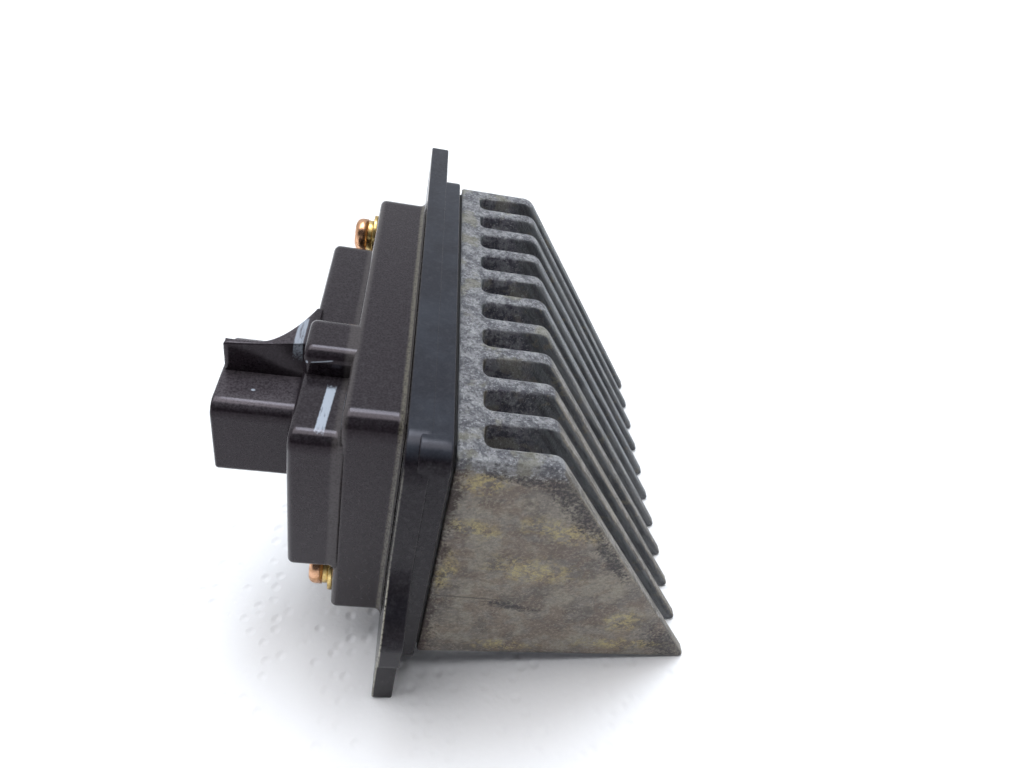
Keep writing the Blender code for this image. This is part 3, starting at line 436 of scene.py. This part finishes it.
def shell(outline, stations, holes=()):
    """Vertices and faces of an outline carried along X.

    Each station is (x, growth), and the outline is a function of the growth. The ends are
    flat caps, and each hole gets its own wall between them."""
    layers = [outline(growth) for x, growth in stations]
    count, rows = len(layers[0]), len(stations)
    rings = np.concatenate([np.column_stack([np.full(count, x), layer])
                            for (x, growth), layer in zip(stations, layers)])
    verts, faces = [rings], []
    column = np.arange(count)
    after = (column + 1) % count
    sign = 1 if stations[-1][0] > stations[0][0] else -1
    for row in range(rows - 1):
        low, high = row * count, (row + 1) * count
        quad = np.stack([low + column, low + after, high + after, high + column], 1)
        faces.extend((quad if sign > 0 else quad[:, ::-1]).tolist())
    total = len(rings)
    first_loops, last_loops = [column], [column + (rows - 1) * count]
    for hole in holes:
        size = len(hole)
        verts.append(np.concatenate([np.column_stack([np.full(size, x), hole])
                                     for x in (stations[0][0], stations[-1][0])]))
        step = np.arange(size)
        ahead = (step + 1) % size
        quad = np.stack([total + step, total + size + step, total + size + ahead,
                         total + ahead], 1)
        faces.extend((quad if sign > 0 else quad[:, ::-1]).tolist())
        first_loops.append(total + step)
        last_loops.append(total + size + step)
        total += 2 * size
    everything = np.concatenate(verts)
    for loops, facing in ((first_loops, -sign), (last_loops, sign)):
        faces.extend(cap_faces(everything, loops, facing))
    return everything, faces


def cap_faces(verts, loops, facing):
    """Faces that fill an outline, facing along +X or -X, with the holes' edges among theirs.

    They cover the holes too: the triangulation is asked to leave those out, but keeps them."""
    index = np.concatenate(loops)
    flat = verts[index][:, 1:]
    edges, start = [], 0
    for loop in loops:
        near = np.arange(start, start + len(loop))
        edges.extend(np.stack([near, np.roll(near, -1)], 1).tolist())
        start += len(loop)
    found = delaunay_2d_cdt([Vector(point) for point in flat], edges, [], 5, 1e-7)
    place = np.array(found[0])
    back = [index[group[0]] for group in found[3]]
    turned = []
    for face in found[2]:
        y, z = place[face].T
        area = (y * np.roll(z, -1) - z * np.roll(y, -1)).sum()
        order = face if area * facing > 0 else face[::-1]
        turned.append([back[corner] for corner in order])
    return turned


def build_piece(name, parts, node):
    """Join shells into one smooth object that stands for a CAD node."""
    verts, faces, start = [], [], 0
    for points, corners in parts:
        verts.append(points)
        faces.extend([[corner + start for corner in face] for face in corners])
        start += len(points)
    mesh = bpy.data.meshes.new(name)
    mesh.from_pydata(np.concatenate(verts), [], faces)
    mesh.polygons.foreach_set("use_smooth", [True] * len(mesh.polygons))
    item = bpy.data.objects.new(name, mesh)
    bpy.context.scene.collection.objects.link(item)
    even = item.modifiers.new("even", "WEIGHTED_NORMAL")
    even.keep_sharp = False
    even.weight = 90
    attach(item, "root")
    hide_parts(node)
    return item


def corner(before, here, after, radius):
    """Arc that touches both sides of a corner; its points turn evenly from one to the other."""
    before, here, after = (np.array(point) for point in (before, here, after))
    back = (before - here) / np.linalg.norm(before - here)
    ahead = (after - here) / np.linalg.norm(after - here)
    half = math.acos(np.clip(back @ ahead, -1.0, 1.0)) / 2
    centre = here + (back + ahead) / np.linalg.norm(back + ahead) * radius / math.sin(half)
    first = here + back * radius / math.tan(half) - centre
    last = here + ahead * radius / math.tan(half) - centre
    turn = math.pi - 2 * half
    t = np.linspace(0.0, 1.0, ROUND_POINTS)[:, None]
    return centre + (np.sin((1 - t) * turn) * first + np.sin(t * turn) * last) / math.sin(turn)


def rounded_ends(start, stop, edge, stop_edge=None, wall_steps=4, flare=0.0):
    """Stations from start to stop: a quarter round at each end, or a concave foot at the start."""
    stop_edge = edge if stop_edge is None else stop_edge
    away = 1 if stop > start else -1
    angle = np.radians(np.linspace(0.0, 90.0, ROUND_POINTS))
    if flare:
        first = np.column_stack([start + away * flare * (1 - np.cos(angle)),
                                 flare * (1 - np.sin(angle))])
    else:
        first = np.column_stack([start + away * edge * (1 - np.cos(angle)),
                                 edge * (np.sin(angle) - 1)])
    last = np.column_stack([stop - away * stop_edge * (1 - np.sin(angle)),
                            stop_edge * (np.cos(angle) - 1)])
    middle = np.column_stack([np.linspace(first[-1][0], last[0][0], wall_steps + 2)[1:-1],
                              np.zeros(wall_steps)])
    return np.concatenate([first, middle, last]).tolist()


plate_low, plate_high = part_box("flange_plate")
plate_near, plate_far = cast_low.y - PLATE_SIDE_MARGIN, cast_high.y + PLATE_SIDE_MARGIN
plate_base, plate_top = cast_low.z - PLATE_LOW_MARGIN, cast_high.z + PLATE_TOP_MARGIN
ear_y, ear_base = plate_near - SIDE_EAR[0], plate_top - SIDE_EAR_DROP
ear_top = ear_base + SIDE_EAR[1]
top_ear_y, top_ear_base = plate_far + TOP_EAR[0], plate_top - TOP_EAR[1]
tongue_near = plate_near - TONGUE_OUT
tongue_far = tongue_near + TONGUE_WIDTH

ear_sweep = sweep((ear_y, ear_top), (plate_near, ear_top + EAR_SWEEP))
plate_outline = resample(np.concatenate([
    corner((top_ear_y, top_ear_base), (top_ear_y, plate_top), (plate_near, plate_top),
           EAR_TIP_ROUND),
    arc((plate_near + PLATE_CORNER, plate_top - PLATE_CORNER), PLATE_CORNER, 90, 180, 18),
    ear_sweep[::-1],
    corner((ear_y, ear_top), (ear_y, ear_base), (tongue_near, ear_base), FOOT_ROUND),
    corner((ear_y, ear_base), (tongue_near, ear_base), (tongue_near, plate_low.z), FOOT_ROUND),
    corner((tongue_near, ear_base), (tongue_near, plate_low.z), (tongue_far, plate_low.z),
           FOOT_ROUND),
    corner((tongue_near, plate_low.z), (tongue_far, plate_low.z), (tongue_far, plate_base),
           FOOT_ROUND),
    corner((tongue_far, plate_low.z), (tongue_far, plate_base), (plate_far, plate_base),
           TONGUE_ROOT_ROUND),
    arc((plate_far - PLATE_CORNER, plate_base + PLATE_CORNER), PLATE_CORNER, 270, 360, 18),
    sweep((plate_far, top_ear_base - EAR_SWEEP), (top_ear_y, top_ear_base))]))
ear_holes = [arc(centre, EAR_HOLE, 0, 360, 41)[:-1] for centre in (
    (plate_far + TOP_EAR[0] / 2, plate_top - TOP_EAR[1] / 2),
    (ear_y + SIDE_EAR[0] / 2, (ear_base + ear_top) / 2))]
window = rounded_box(
    (cast_middle_y - WINDOW_HALF_WIDTH, cast_middle_z - WINDOW_HALF_HEIGHT),
    (cast_middle_y + WINDOW_HALF_WIDTH, cast_middle_z + WINDOW_HALF_HEIGHT), WINDOW_CORNER)(0.0)
rim_outline = rounded_box((plate_near + RIM_INSET_NEAR, plate_base + RIM_INSET_Z),
                          (plate_far - RIM_INSET_FAR, plate_top - RIM_INSET_Z), RIM_CORNER)
plate = build_piece("plate_moulding", [
    shell(grown(plate_outline), rounded_ends(0.0, PLATE_BACK, PLATE_EDGE),
          [*ear_holes, window]),
    shell(rim_outline, rounded_ends(PLATE_BACK / 2, plate_high.x, PLATE_EDGE), [window])],
    "flange_plate")


def flange_finish():
    """Satin plastic with a fine moulded grain, dusty wear, and a painted sheen, glint and edge
    reflection.
    """
    finish = Finish("FlangePlastic", Specular_IOR_Level=0.17, Specular_Tint=(0.97, 0.92, 1.0))
    x, y, _ = finish.axis()
    _, ny, nz = finish.facing()
    dust = finish.noise(700, 5.0, 0.7).ramp(0.45, 0.75)
    fine = finish.noise(2400, 4.0, 0.7)
    cloud = finish.noise(110, 4.0, 0.6)
    skin = finish.blend(fine.ramp(0.40, 0.60), (0.0050, 0.0040, 0.0055), (0.0120, 0.0096, 0.0125))
    skin = finish.blend(dust * 0.10, skin, (0.16, 0.16, 0.165))
    # Painted reflection: top faces lightened towards blue, a sheen standing in for the ceiling's
    # light
    painted_top_sheen = nz.ramp(0.55, 0.92) * (cloud.ramp(0.30, 0.70) * 0.4 + 0.6)
    skin = finish.blend(painted_top_sheen * 0.5, skin, (0.052, 0.062, 0.078))

    # Painted highlight: a blue glint painted on the shoulder of the near ear
    painted_glint = finish.spot((-2.2, -51.8, 4.2), (1.9, 1.4, 0.7))
    skin = finish.blend(painted_glint * 0.8, skin, (0.036, 0.046, 0.080))

    # Pale near edges of the near ear's back edge and foot: partly scraped pale by the duct, partly
    # a painted reflection of the white table
    back_edge = x.ramp(PLATE_BACK + 0.42 * MM, PLATE_BACK + 0.08 * MM) * y.ramp(
        plate_near + 1.0 * MM, plate_near - 1.5 * MM) * ny.ramp(-0.15, -0.45)
    foot_edge = finish.spot((-2.0, -51.85, -17.35), (2.6, 0.7, 0.30), (fine - 0.5) * 0.8,
                            square=True)
    pale_edge_wear_and_reflection = back_edge.most(foot_edge) * fine.ramp(0.34, 0.52)
    skin = finish.blend(pale_edge_wear_and_reflection * 0.75, skin, (0.52, 0.50, 0.42))
    finish.feed(finish.shader.inputs["Base Color"], skin)
    finish.feed(finish.shader.inputs["Roughness"], cloud * 0.12 + 0.15)
    finish.relief(finish.noise(4200, 3.0, 0.6), 0.015 * MM)
    return finish


flange_finish().dress(plate)


# Gasket: a flat frame of dull black rubber, squeezed between the plate's rim and the casting.
# Only its outer edge shows, as a dark line.
def rubber_finish():
    """Dull black rubber."""
    finish = Finish("Rubber", Roughness=0.8)
    grain = finish.noise(1800, 4.0)
    finish.feed(finish.shader.inputs["Base Color"],
                finish.blend(grain, (0.010, 0.010, 0.010), (0.022, 0.022, 0.022)))
    return finish


gasket = smooth_node("heatsink_gasket")
rubber_finish().dress(gasket)


# Power devices: two black epoxy bodies with tinned leads, each on a grey silicone pad and held
# to the casting by a plated screw.
def epoxy_finish(name, body_top):
    """Black moulded epoxy below the body's top, bright tin on the leads above it."""
    finish = Finish(name)
    z = finish.axis()[2]
    grain = finish.noise(3000, 4.0, 0.7)
    lead = z.ramp(body_top, body_top + 0.1 * MM)
    body = finish.blend(grain, (0.012, 0.012, 0.013), (0.034, 0.033, 0.034))
    tin = finish.blend(grain, (0.46, 0.45, 0.43), (0.72, 0.71, 0.68))
    finish.feed(finish.shader.inputs["Base Color"], finish.blend(lead, body, tin))
    finish.feed(finish.shader.inputs["Metallic"], lead)
    finish.feed(finish.shader.inputs["Roughness"], grain * 0.2 + 0.38)
    finish.relief(grain, 0.02 * MM)
    return finish


def silicone_finish():
    """Soft grey sheet, with the faint weave of the glass cloth inside it."""
    finish = Finish("Silicone", Roughness=0.7)
    cloth = finish.cells(1400, 0.15).ramp(0.0, 0.5)
    finish.feed(finish.shader.inputs["Base Color"],
                finish.blend(cloth, (0.36, 0.37, 0.39), (0.48, 0.49, 0.51)))
    finish.relief(cloth, 0.03 * MM)
    return finish


DEVICE_BODY = 19.0 * MM
silicone = silicone_finish()
for place in ("near", "far"):
    device_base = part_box(f"power_device_{place}")[0].z
    epoxy_finish(f"Epoxy_{place}", device_base + DEVICE_BODY).dress(f"power_device_{place}")
    silicone.dress(f"insulating_pad_{place}")


# Circuit board: green glass laminate that carries the blades and leads, with a drawn
# aluminium capacitor and a thermal fuse standing on its casting side.
def board_finish():
    """Green lacquer over woven glass, with paler copper tracks showing through."""
    finish = Finish("GreenLaminate", Roughness=0.32)
    weave = finish.cells(1800, 0.1).ramp(0.0, 0.5)
    tracks = finish.streaks(4.0, 0.9, 6.0).ramp(0.50, 0.53)
    lacquer = finish.blend(tracks, (0.016, 0.090, 0.036), (0.040, 0.170, 0.070))
    finish.feed(finish.shader.inputs["Base Color"],
                finish.blend(weave * 0.25, lacquer, (0.060, 0.160, 0.080)))
    finish.relief(tracks + weave * 0.2, 0.03 * MM)
    return finish


def can_finish():
    """Drawn aluminium with fine scratches along the can."""
    finish = Finish("DrawnCan", Metallic=1.0)
    drawn = finish.streaks(6.0, 0.12, 0.12)
    finish.feed(finish.shader.inputs["Base Color"],
                finish.blend(drawn, (0.58, 0.57, 0.55), (0.74, 0.73, 0.70)))
    finish.feed(finish.shader.inputs["Roughness"], drawn * 0.2 + 0.22)
    return finish


board_finish().dress("circuit_board")
can_finish().dress("capacitor", "thermal_fuse")


# Housing: one moulding in black plastic, stepped down to a connector shroud. Two strokes of
# white inspection paint lie on it, and old dust in its corners.
cover_low, cover_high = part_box("housing_cover")
MAIN_FOOT, MAIN_END, STEP_END = -4.0 * MM, -13.7 * MM, -21.7 * MM
MAIN_CORNER, STEP_CORNER, BOSS_CORNER, SHROUD_CORNER = 3.8 * MM, 3.0 * MM, 2.6 * MM, 2.8 * MM
LOW_CORNER = 1.4 * MM
FOOT_FLARE, STEP_FLARE = 1.4 * MM, 1.0 * MM
COVER_EDGE, MOUTH_EDGE = 1.2 * MM, 0.6 * MM
SHROUD_WALL = 1.9 * MM
LOCK_WALL, LOCK_SWEEP, LOCK_TILT = 1.5 * MM, 11.2 * MM, 3.0 * MM
LOCK_RUN, LOCK_RISE, LOCK_BEND = 8.68 * MM, 6.0 * MM, 1.6
LOCK_FOOT_EDGE, LOCK_TOP_EDGE = 0.3 * MM, 0.45 * MM
STEP_RISE, STEP_SHORT, STEP_DROP = 13.2 * MM, 13.5 * MM, 4.8 * MM
BOSS_START, BOSS_WIDTH, BOSS_DEPTH, BOSS_EDGE = 15.0 * MM, 10.4 * MM, 6.0 * MM, 0.3 * MM
SHROUD_REACH, SHROUD_DROP, SHROUD_WIDTH, SHROUD_HEIGHT = 29.8 * MM, 5.0 * MM, 19.6 * MM, 16.0 * MM
MOUTH_CHAMFER, MOUTH_BAND, SHROUD_FLOOR = 0.3 * MM, 3.0 * MM, 0.5 * MM
HAIR, STEP_SUNK, BOSS_SUNK, ROOT_DEPTH = 0.1 * MM, 0.2 * MM, 2.4 * MM, 1.1 * MM
main_low = np.array((cover_low.y + FOOT_FLARE, cover_low.z + FOOT_FLARE))
main_high = np.array((cover_high.y - FOOT_FLARE, cover_high.z - FOOT_FLARE))
step_low = main_low + np.array((HAIR, STEP_RISE))
step_high = np.array((main_high[0] - STEP_SHORT, main_high[1] - STEP_DROP))
boss_low = np.array((main_low[0] + BOSS_START, step_high[1] - BOSS_DEPTH))
boss_high = np.array((boss_low[0] + BOSS_WIDTH, main_high[1] - HAIR))
shroud_high = np.array((main_low[0] + SHROUD_REACH, step_high[1] - SHROUD_DROP))
shroud_low = shroud_high - np.array((SHROUD_WIDTH, SHROUD_HEIGHT))
mouth = cover_low.x

# Lock wall: it runs out of the step in a sweep and stands up from the shroud. It is carried
# upwards, so its points are (z, x, y), and its near side leans out towards its root and top.
lock_y = (shroud_low[0] + shroud_high[0]) / 2 - LOCK_WALL / 2
lock_root = STEP_END + ROOT_DEPTH
t = np.linspace(0.0, 1.0, 24)[1:, None]
lock_curve = np.concatenate([STEP_END - LOCK_RUN * t,
                             lock_y + LOCK_WALL + LOCK_SWEEP * (1 - t) ** 2], 1)
lock_outline = resample(np.concatenate([
    [(mouth + MOUTH_EDGE, lock_y + LOCK_WALL), (mouth + MOUTH_EDGE, lock_y), (lock_root, lock_y),
     (lock_root, lock_y + LOCK_WALL + LOCK_SWEEP),
     (STEP_END, lock_y + LOCK_WALL + LOCK_SWEEP)], lock_curve]))
lock_foot = shroud_high[1] - SHROUD_WALL / 2
lock_points, lock_faces = shell(grown(lock_outline), rounded_ends(
    lock_foot, shroud_high[1] + LOCK_RISE, LOCK_FOOT_EDGE, LOCK_TOP_EDGE))
nearness = 1.0 - np.clip((lock_points[:, 2] - lock_y) / LOCK_WALL, 0.0, 1.0)
along = np.clip((lock_points[:, 1] - mouth) / (lock_root - mouth), 0.0, 1.0)
raised = np.clip((lock_points[:, 0] - shroud_high[1]) / LOCK_RISE, 0.0, 1.0)
lock_points[:, 2] += LOCK_TILT * nearness * along ** LOCK_BEND * raised

# Shroud: it starts inside the step, so its first quarter round is dropped, and turns in at the
# mouth. The step's flare is held back to the near side of the main box.
shroud_stations = [(lock_root, 0.0)] + rounded_ends(
    STEP_END, mouth, MOUTH_EDGE, wall_steps=10)[ROUND_POINTS:]
shroud_stations += [(mouth, -SHROUD_WALL + MOUTH_CHAMFER), (mouth + MOUTH_CHAMFER, -SHROUD_WALL),
                    (mouth + MOUTH_BAND, -SHROUD_WALL), (STEP_END - SHROUD_FLOOR, -SHROUD_WALL)]
step_stations = [(MAIN_END + COVER_EDGE + STEP_SUNK, HAIR)] + rounded_ends(
    MAIN_END + STEP_FLARE / 4, STEP_END, 0.0, COVER_EDGE, 8, STEP_FLARE)
step_points, step_faces = shell(rounded_box(step_low, step_high, STEP_CORNER, LOW_CORNER),
                                step_stations)
step_points[:, 1] = np.maximum(step_points[:, 1], main_low[0] + HAIR / 2)
housing = build_piece("housing_moulding", [
    shell(rounded_box(main_low, main_high, MAIN_CORNER, LOW_CORNER),
          rounded_ends(MAIN_FOOT, MAIN_END, 0.0, COVER_EDGE, 8, FOOT_FLARE)),
    (step_points, step_faces),
    shell(rounded_box(boss_low, boss_high, BOSS_CORNER),
          rounded_ends(MAIN_END + BOSS_SUNK, STEP_END + HAIR, BOSS_EDGE, COVER_EDGE, 8)),
    shell(rounded_box(shroud_low, shroud_high, SHROUD_CORNER, LOW_CORNER), shroud_stations),
    (lock_points[:, [1, 2, 0]], lock_faces)], "housing_cover")


def housing_finish():
    """Black plastic, satin and a little brown, with dust, scuffs and two strokes of paint."""
    finish = Finish("BlackPlastic", Specular_IOR_Level=0.29, Specular_Tint=(1.0, 0.90, 0.98))
    fine = finish.noise(2600, 4.0, 0.7)
    dust = finish.noise(800, 5.0, 0.7).ramp(0.48, 0.78)
    cloud = finish.noise(90, 4.0, 0.6)
    x = finish.axis()[0]
    nz = finish.facing()[2]
    skin = finish.blend(fine.ramp(0.40, 0.60), (0.0090, 0.0066, 0.0084), (0.0180, 0.0134, 0.0168))
    skin = finish.blend(dust * 0.10, skin, (0.15, 0.15, 0.155))
    skin = finish.blend(nz.ramp(0.5, 0.95) * (fine.ramp(0.35, 0.75) * 0.05 + 0.02), skin,
                        (0.20, 0.21, 0.22))

    # Dust that settled on the shroud, in the shelter of the lock wall
    settled = nz.ramp(0.6, 0.95) * x.ramp(STEP_END, STEP_END - 1.0 * MM)
    skin = finish.blend(settled * (fine.ramp(0.30, 0.60) * 0.10 + 0.06), skin,
                        (0.250, 0.220, 0.245))

    # Tan dust and old sealer in the flared foot, against the flange
    joint = (x + (cloud - 0.5) * (0.5 * MM)).ramp(MAIN_FOOT - 1.25 * MM, MAIN_FOOT - 0.75 * MM)
    joint = joint * (1.0 - (x + (fine - 0.5) * (0.5 * MM)).ramp(MAIN_FOOT - 0.42 * MM,
                                                              MAIN_FOOT - 0.22 * MM) * 0.75)
    skin = finish.blend(joint * (fine.ramp(0.36, 0.58) * 0.5 + 0.2), skin,
                        (0.150, 0.140, 0.105))

    # Grey dust in the groove between the main box and the step
    groove = x.ramp(MAIN_END - 1.5 * MM, MAIN_END - 0.7 * MM) * x.ramp(MAIN_END + 1.4 * MM,
                                                                   MAIN_END + 0.5 * MM)
    skin = finish.blend(groove * (fine.ramp(0.30, 0.60) * 0.25 + 0.35), skin,
                        (0.085, 0.078, 0.076))

    # White inspection paint, thin where the brush left the surface
    bristle = finish.streaks(0.4, 3.1, 0.4)
    ragged = (fine - 0.5) * 0.5
    paint = finish.spot((-16.7, -28.5, 20.4), (0.74, 4.9, 1.2), ragged, -3.2, 2, square=True)
    lick = finish.spot((-23.3, -11.4, 21.0), (0.75, 3.7, 3.0), ragged, 0.0, 2, square=True)
    specks = finish.spots(ragged,
                          ((-29.6, -20.9, 15.4), (0.34, 0.26, 0.6)),
                          ((-12.7, -36.4, 25.2), (0.30, 0.26, 0.9)),
                          ((-20.9, -20.9, 22.9), (0.24, 0.6, 0.24)),
                          ((-22.0, -18.0, 14.6), (0.24, 0.6, 0.24)))
    line = finish.spot((-18.5, -20.9, 23.3), (1.7, 0.6, 0.10), 0.0, -10.0, 1, square=True)
    white = (paint * bristle.ramp(0.26, 0.48) * 0.80).most(lick * bristle.ramp(0.28, 0.50) * 0.6)
    white = white.most(specks * 0.7).most(line * 0.6)
    skin = finish.blend(white, skin, (0.46, 0.52, 0.60))
    finish.feed(finish.shader.inputs["Base Color"], skin)
    finish.feed(finish.shader.inputs["Roughness"], cloud * 0.12 + fine * 0.04 + 0.09)
    finish.relief(finish.noise(4200, 3.0, 0.6), 0.005 * MM)
    return finish


housing_finish().dress(housing)


# Screws, washers and blades: brass pan heads, copper-coloured where the lacquer went, over a
# split spring washer and a flat washer, both plated yellow. The screws of the power devices are
# plated too, and the connector's four flat blades are tinned copper.
def metal_finish(name, light, dark, roughness):
    """Plated or bare metal with a mottled tarnish."""
    finish = Finish(name, Metallic=1.0)
    tarnish = finish.noise(650, 5.0, 0.65).ramp(0.35, 0.70)
    finish.feed(finish.shader.inputs["Base Color"], finish.blend(tarnish, light, dark))
    finish.feed(finish.shader.inputs["Roughness"], tarnish * 0.2 + roughness)
    finish.relief(finish.noise(3000, 3.0), 0.01 * MM)
    return finish


brass = metal_finish("Brass", (0.72, 0.42, 0.26), (0.42, 0.22, 0.10), 0.22)
plated = metal_finish("PlatedSteel", (0.78, 0.58, 0.24), (0.40, 0.28, 0.11), 0.24)
tinned = metal_finish("TinnedCopper", (0.74, 0.72, 0.68), (0.52, 0.50, 0.47), 0.25)
for place in ("top", "low"):
    brass.dress(smooth_node(f"cover_screw_{place}"))
    plated.dress(smooth_node(f"spring_washer_{place}", 0.12 * MM))
    plated.dress(smooth_node(f"flat_washer_{place}", 0.10 * MM))
for place in ("near", "far"):
    plated.dress(smooth_node(f"device_screw_{place}"))
for number in (1, 2, 3, 4):
    tinned.dress(smooth_node(f"connector_blade_{number}"))


# Table: a sheet of white paper towel. The part lies on it on its fin tips and on the tongue of
# its plate, so it leans, and the table is laid through those two in the part's own frame.
LEAN = math.atan2(tip_base - plate_low.z, cast_high.x - PLATE_BACK / 2)
level = Matrix.Rotation(-LEAN, 3, "Y")
FLOOR_SIZE = 8.0


def make_floor():
    """Flat square table top through the fin tips and the tongue's lower edge."""
    middle = Vector((cast_high.x, cast_middle_y, tip_base))
    half = FLOOR_SIZE / 2
    corners = [middle + level @ Vector((x * half, y * half, 0.0))
               for x, y in ((-1, -1), (1, -1), (1, 1), (-1, 1))]
    mesh = bpy.data.meshes.new("table_top")
    mesh.from_pydata(corners, [], [(0, 1, 2, 3)])
    floor = bpy.data.objects.new("table_top", mesh)
    bpy.context.scene.collection.objects.link(floor)
    return floor


table = make_floor()


def paper_finish():
    """White paper towel: faint clouds, a fine nap and rows of soft pressed dimples."""
    finish = Finish("TablePaper", Roughness=0.85)
    cloud = finish.noise(30, 3.0)
    finish.feed(finish.shader.inputs["Base Color"],
                finish.blend(cloud, (0.915, 0.92, 0.93), (0.94, 0.94, 0.945)))
    dimple = finish.cells(300, 0.6).ramp(0.0, 0.40)
    finish.relief(dimple * 0.7 + finish.noise(900, 3.0) * 0.25, 0.38 * MM)
    return finish


paper_finish().dress(table)


# Light: one soft square lamp above and behind, in a pale room with a brighter ceiling. The room
# is dark in front, above the camera's horizon, so the black plastic stays black.
def soft_light(name, azimuth, height, distance, size, power, colour):
    """Square area light aimed at the part; azimuth 0 is the camera's side, height is from level."""
    turn, lift = math.radians(azimuth), math.radians(height)
    way = Vector((math.sin(turn) * math.cos(lift), -math.cos(turn) * math.cos(lift),
                  math.sin(lift)))
    lamp = bpy.data.lights.new(name, "AREA")
    lamp.shape, lamp.size, lamp.energy, lamp.color = "SQUARE", size, power, colour
    item = bpy.data.objects.new(name, lamp)
    bpy.context.scene.collection.objects.link(item)
    item.location = part_middle + level @ way * distance
    item.rotation_euler = (level @ -way).to_track_quat("-Z", "Y").to_euler()


part_middle = (Vector(cad_size[0]) + Vector(cad_size[1])) / 2
soft_light("ceiling_light", 165, 70, 1.2, 0.40, 4.2, (0.80, 0.90, 1.0))

world = bpy.data.worlds.new("room")
bpy.context.scene.world = world
world.use_nodes = True
ROOM_WALL, ROOM_CEILING, ROOM_FRONT = (0.84, 0.86, 0.90), (4.6, 4.6, 4.7), (0.06, 0.06, 0.07)


def room_light():
    """Pale walls, a brighter ceiling overhead and a dark front above the camera's horizon."""
    room = Shading(world.node_tree)
    place = room.node("ShaderNodeTexCoord").outputs["Generated"]

    def toward(way, low, high):
        """0 to 1 as a direction turns towards a way; low and high are cosines."""
        cosine = room.node("ShaderNodeVectorMath", {"operation": "DOT_PRODUCT"})
        room.feed(cosine.inputs[0], place)
        room.feed(cosine.inputs[1], way)
        return Value(room, cosine.outputs["Value"]).ramp(low, high)

    up, front = level @ Vector((0.0, 0.0, 1.0)), Vector((0.0, -1.0, 0.0))
    light = room.blend(toward(up, 0.80, 0.97), ROOM_WALL, ROOM_CEILING)
    light = room.blend(toward(front, 0.08, 0.30) * toward(up, 0.20, 0.36), light, ROOM_FRONT)
    room.feed(room.tree.nodes["Background"].inputs["Color"], light)


room_light()


# Camera: it stands about where the photograph's camera stood, given from the near lower corner
# of the heatsink. Its place and lens were set against corners read from the photograph.
CAMERA_OFFSET = Vector((-6.65, -72.25, 131.15)) * MM
AIM_OFFSET = Vector((18.67, 46.39, 26.82)) * MM
CAMERA_LENS = 25.9
fin_corner = Vector((0.0, cast_low.y, tip_base))
camera = bpy.data.objects.new("camera", bpy.data.cameras.new("camera"))
bpy.context.scene.collection.objects.link(camera)
camera.data.lens = CAMERA_LENS
camera.data.clip_start = 0.01
camera.location = fin_corner + CAMERA_OFFSET
forward = (fin_corner + AIM_OFFSET - camera.location).normalized()
right = forward.cross(level @ Vector((0.0, 0.0, 1.0))).normalized()
camera.rotation_euler = Matrix((right, right.cross(forward), -forward)).transposed().to_euler()
bpy.context.scene.camera = camera
bpy.context.scene.view_settings.view_transform = "Standard"
